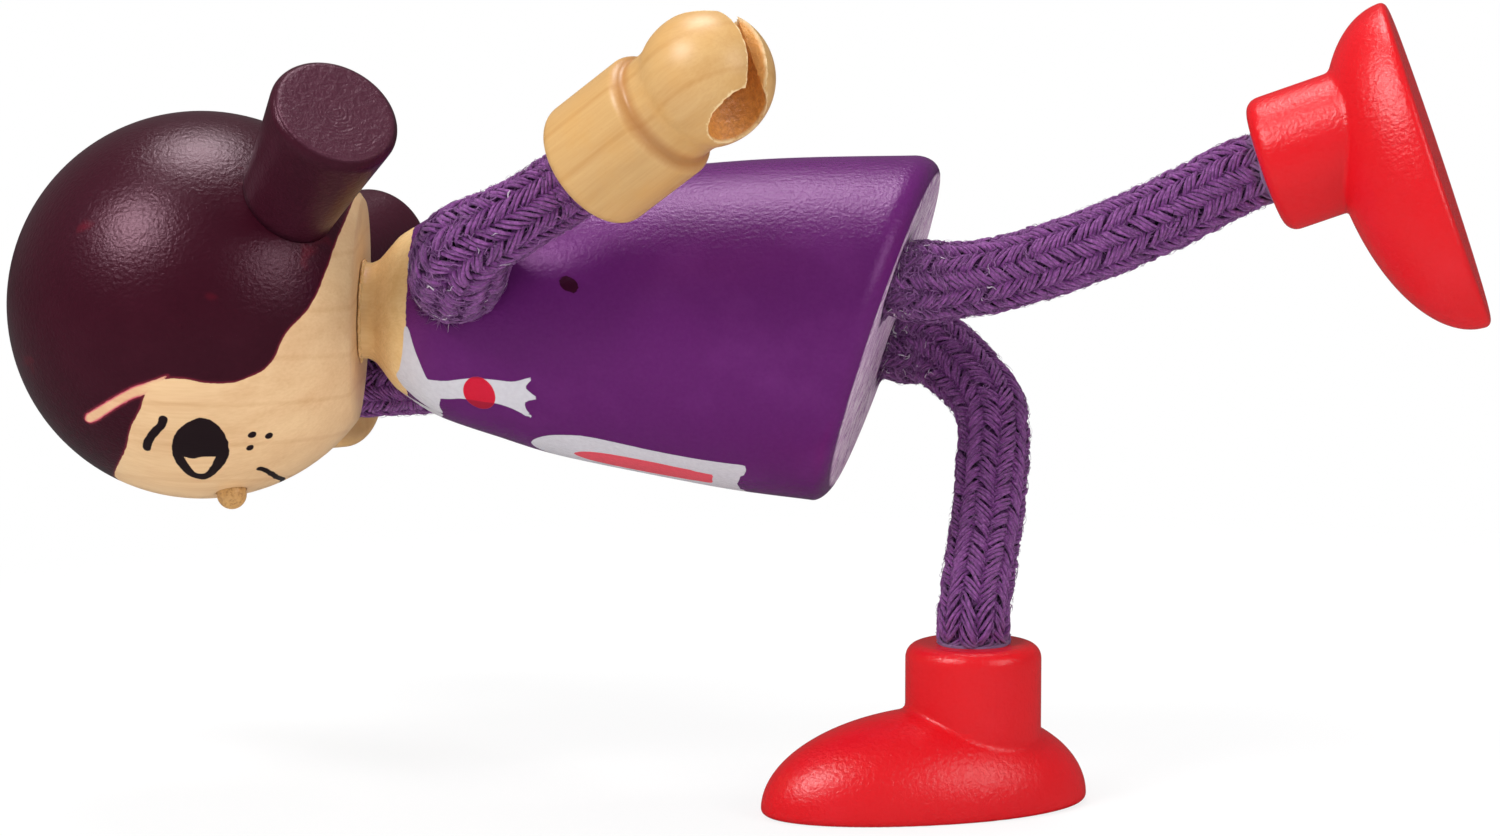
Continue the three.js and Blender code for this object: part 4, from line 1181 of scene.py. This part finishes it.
def braid(name, route, start, end, chance):
    """The stretch of a braided sleeve between two lengths from the wood"""
    tubes = Tubes()
    steps = max(2, round((end - start) * math.sqrt(2) / YARN_STEP))
    lengths = np.linspace(start, end, steps + 1)
    full = fullness(route, lengths)
    yarn_space = math.tau / STRANDS / len(YARNS)
    for hand in (1, -1):
        for strand in range(STRANDS):
            for yarn in YARNS:
                yarn_chance = random.Random(f"{name[:9]} {hand} {strand} {yarn}")
                wander = yarn_chance.uniform(0, 9)
                angles = math.tau * strand / STRANDS + hand * lengths / BRAID_RADIUS + yarn * yarn_space * 0.9
                angles = (angles + 0.055 * np.sin(lengths * 1.4 + 2.4 * strand + hand)
                          + 0.025 * np.sin(lengths * 3.7 + 2 * wander))
                floats = hand * weave(angles)
                height = BRAID_RADIUS + WEAVE_DEPTH * floats - 0.04 * abs(yarn)
                height = height + 0.05 * np.sin(lengths * 3.1 + 3 * wander) + yarn_chance.uniform(-0.05, 0.05)
                centres, outs = route.surface(lengths, angles, height * full)
                plump = 1 + 0.12 * np.sin(lengths * 4.4 + wander) + 0.07 * np.sin(lengths * 9 + wander)
                tubes.add(centres, outs, YARN_WIDE * plump * full, YARN_THICK * plump * full, YARN_SIDES,
                          lengths, 40 * wander, lengths * math.sqrt(2), floats)
    core_lengths = np.linspace(start, end, max(6, round(2 * (end - start)) + 1))
    core = CORE_RADIUS * fullness(route, core_lengths)
    tubes.add(route.read(route.line, core_lengths), route.read(route.normals, core_lengths), core, core, 24,
              core_lengths, CORE, core_lengths)
    shown_start, shown_end = max(start, 0.3), min(end, route.mouth_at - 0.2)
    for _ in range(int(FUZZ_PER_MM * (shown_end - shown_start))):
        at, turn = chance.uniform(shown_start, shown_end), chance.uniform(0, math.tau)
        add_curl(tubes, route, at, turn, chance.uniform(0.3, 1.1), chance.uniform(0.02, 0.25),
                 chance.uniform(0.015, 0.03), FUZZ, chance)
    mat(tubes, route, start, end, chance)
    if start < 0:
        fray(tubes, route, chance)
    if end > route.mouth_at:
        glue_ring(tubes, route, chance)
    piece = bpy.data.objects.new(name, tubes.mesh(name))
    bpy.context.scene.collection.objects.link(piece)
    piece.data.shade_smooth()
    return piece


def cord_paint(name, mouth_at):
    """Dyed cotton, stained with glue where it enters the wood and smeared where it enters the cuff"""
    made, tree, surface = material(name)
    yarn = add_node(tree, "ShaderNodeUVMap", uv_map="yarn").outputs["UV"]
    split = add_node(tree, "ShaderNodeSeparateXYZ", {"Vector": yarn})
    twist = plus(times(split.outputs["X"], 1.9), split.outputs["Y"])
    twist = sums("SINE", times(twist, math.tau))
    patchy = noise(stretched(yarn, (0.35, 1, 1)), 1.0, 2.0)
    hairs = noise(stretched(yarn, (3.6, 5, 1)), 1.0, 5.0, 0.75)
    tone = mixed(ramp(patchy, 0.3, 0.7), "5b2565", "83438a")
    tone = mixed(ramp(hairs, 0.52, 0.68, 0.0, 0.7), tone, "ad78b2")
    tone = mixed(ramp(hairs, 0.34, 0.47, 0.75, 0.0), tone, "34123f")
    # Painted shade in the grooves of each yarn's twist
    tone = mixed(ramp(twist, -1.0, -0.1, 0.35, 0.0), tone, "34123f")
    # Painted highlight on the tops of the yarns where they float over others, and painted shade where they
    # dip under them
    float_light_and_shade = read(tree, "float")
    tone = mixed(ramp(float_light_and_shade, 0.5, 1.0, 0.0, 0.15), tone, "b27ab6")
    tone = mixed(ramp(float_light_and_shade, -0.4, 0.5, 0.45, 0.0), tone, "2c1036")
    from_wood = read(tree, "from_wood")
    stain = times(ramp(from_wood, 0.5, 4.0, 0.45, 0.0),
                  ramp(noise(stretched(yarn, (0.5, 1, 1)), 1.6, 3.0), 0.35, 0.6))
    tone = mixed(stain, tone, "3f2348")
    for mark, share, code in ((FUZZ, 0.75, "9a66a1"), (TUFT, 0.85, "67366f"), (SPECK, 0.9, "d9cbdb"),
                              (GLUE, 0.85, "6a4a70")):
        tone = mixed(ramp(split.outputs["X"], mark - 1, mark, 0.0, share), tone, code)
    # The core is painted near black, painted shade for the gaps between the yarns. Its map stays below -10,
    # as no cord is 40 mm long
    tone = mixed(ramp(split.outputs["X"], -10, -9, 1.0, 0.0), tone, "1c0a24")
    smear = ramp(from_wood, mouth_at - 0.9, mouth_at - 0.5, 0.0, 0.7)
    tone = mixed(smear, tone, "7a5a80")
    set_inputs(surface, {"Base Color": tone, "Roughness": 0.9, "Specular IOR Level": 0.2,
                         "Sheen Weight": 0.10, "Sheen Roughness": 0.5})
    height = plus(times(twist, 0.008), times(hairs, 0.07))
    bumps(surface, height)
    return made


def wood_levels(kind):
    """How far out the wood stands round a cord's root, for offsets from it given in the row frame"""
    into_torso = np.array(torso_place.to_3x3())

    def level(offsets):
        aside = offsets @ into_torso
        if kind == "leg":
            return aside[:, 1] * math.tan(HEM_TILT)
        across = aside[:, 1] - ARM_AHEAD
        return np.sqrt(bell_radius(arm_height + aside[:, 2]) ** 2 - across ** 2) - arm_reach

    return level


def root_of(place, way):
    """A place and a way on the torso, in the row frame, in millimetres"""
    at = np.array(torso_place @ (Vector(place) * MM)) / MM
    return at, np.array(torso_place.to_3x3() @ Vector(way))


arm_reach = math.sqrt(float(bell_radius(arm_height)) ** 2 - ARM_AHEAD ** 2)
hip_low = -HIP_BACK * math.tan(HEM_TILT)
ARM_NAMES = (("upper_arm", "mid_arm", "lower_arm", "wrist"), ("shoulder", "upper_arm", "forearm", "hand"))
LEG_NAMES = (("upper_leg", "mid_leg", "lower_leg", "ankle"), ("hip", "thigh", "shin", "foot"))
LIMBS = [
    # side, sign, kind, free points, bends, straight lead, swell
    ("left", 1, "arm", LEFT_ARM_POINTS, ARM_BENDS, 2.2, NEAR_ARM_SWELL),
    ("right", -1, "arm", RIGHT_ARM_POINTS, ARM_BENDS, ROUTE_LEAD, NO_SWELL),
    ("left", 1, "leg", LEFT_LEG_POINTS, LEG_BENDS, ROUTE_LEAD, HIP_SWELL),
    ("right", -1, "leg", RIGHT_LEG_POINTS, LEG_BENDS, ROUTE_LEAD, HIP_SWELL),
]
for side_name, sign, kind, points, bends, lead, swell in LIMBS:
    if kind == "arm":
        root, root_out = root_of((sign * arm_reach, -ARM_AHEAD, arm_height), (sign, 0, 0))
        depth, cuff_place = arm_reach - CORD_SEAT / 2, hand_places[side_name]
        names, wood_node = ARM_NAMES, "chest"
    else:
        root, root_out = root_of((sign * HIP_APART / 2, HIP_BACK, hip_low), (0, 0, -1))
        depth, cuff_place = HIP_DEPTH - hip_low - CORD_SEAT, SHOE_PLACES[side_name]
        names, wood_node = LEG_NAMES, "hip"
    route = Route(root, root_out, depth, points, cuff_place, lead, swell)
    route.wood_level = wood_levels(kind)
    joint_at = [*bends, route.mouth_at - CUFF_BEND]
    ends = [-PAST_WOOD, *[(a + b) / 2 for a, b in zip(joint_at, joint_at[1:])], route.mouth_at + PAST_WOOD]
    chance = random.Random(f"{side_name} {kind}")
    paint = cord_paint(f"{side_name}_{kind}_cotton", route.mouth_at)
    for i, node_name in enumerate(names[0]):
        piece = braid(f"{side_name}_{node_name}_braid", route, ends[i], ends[i + 1], chance)
        piece.data.materials.append(paint)
        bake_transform(piece)
        nodes = [f"{side_name}_{node_name}_cord"]
        if i == 0:
            nodes.append(f"{side_name}_{wood_node}_cord")
        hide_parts(*nodes)


# Limb wires
# Soft steel wire inside each braid, which holds the pose. It stays as it was drawn, and doesn't show.
wire_metal, tree, surface = material("wire_metal")
from_object = add_node(tree, "ShaderNodeTexCoord").outputs["Object"]
drawn = noise(from_object, 900.0, 3.0)
set_inputs(surface, {"Base Color": mixed(drawn, "8f9295", "6f7276"), "Metallic": 1.0, "Roughness": 0.4})
for name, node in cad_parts.items():
    if name.endswith("_wire"):
        node.data.materials.clear()
        node.data.materials.append(wire_metal)
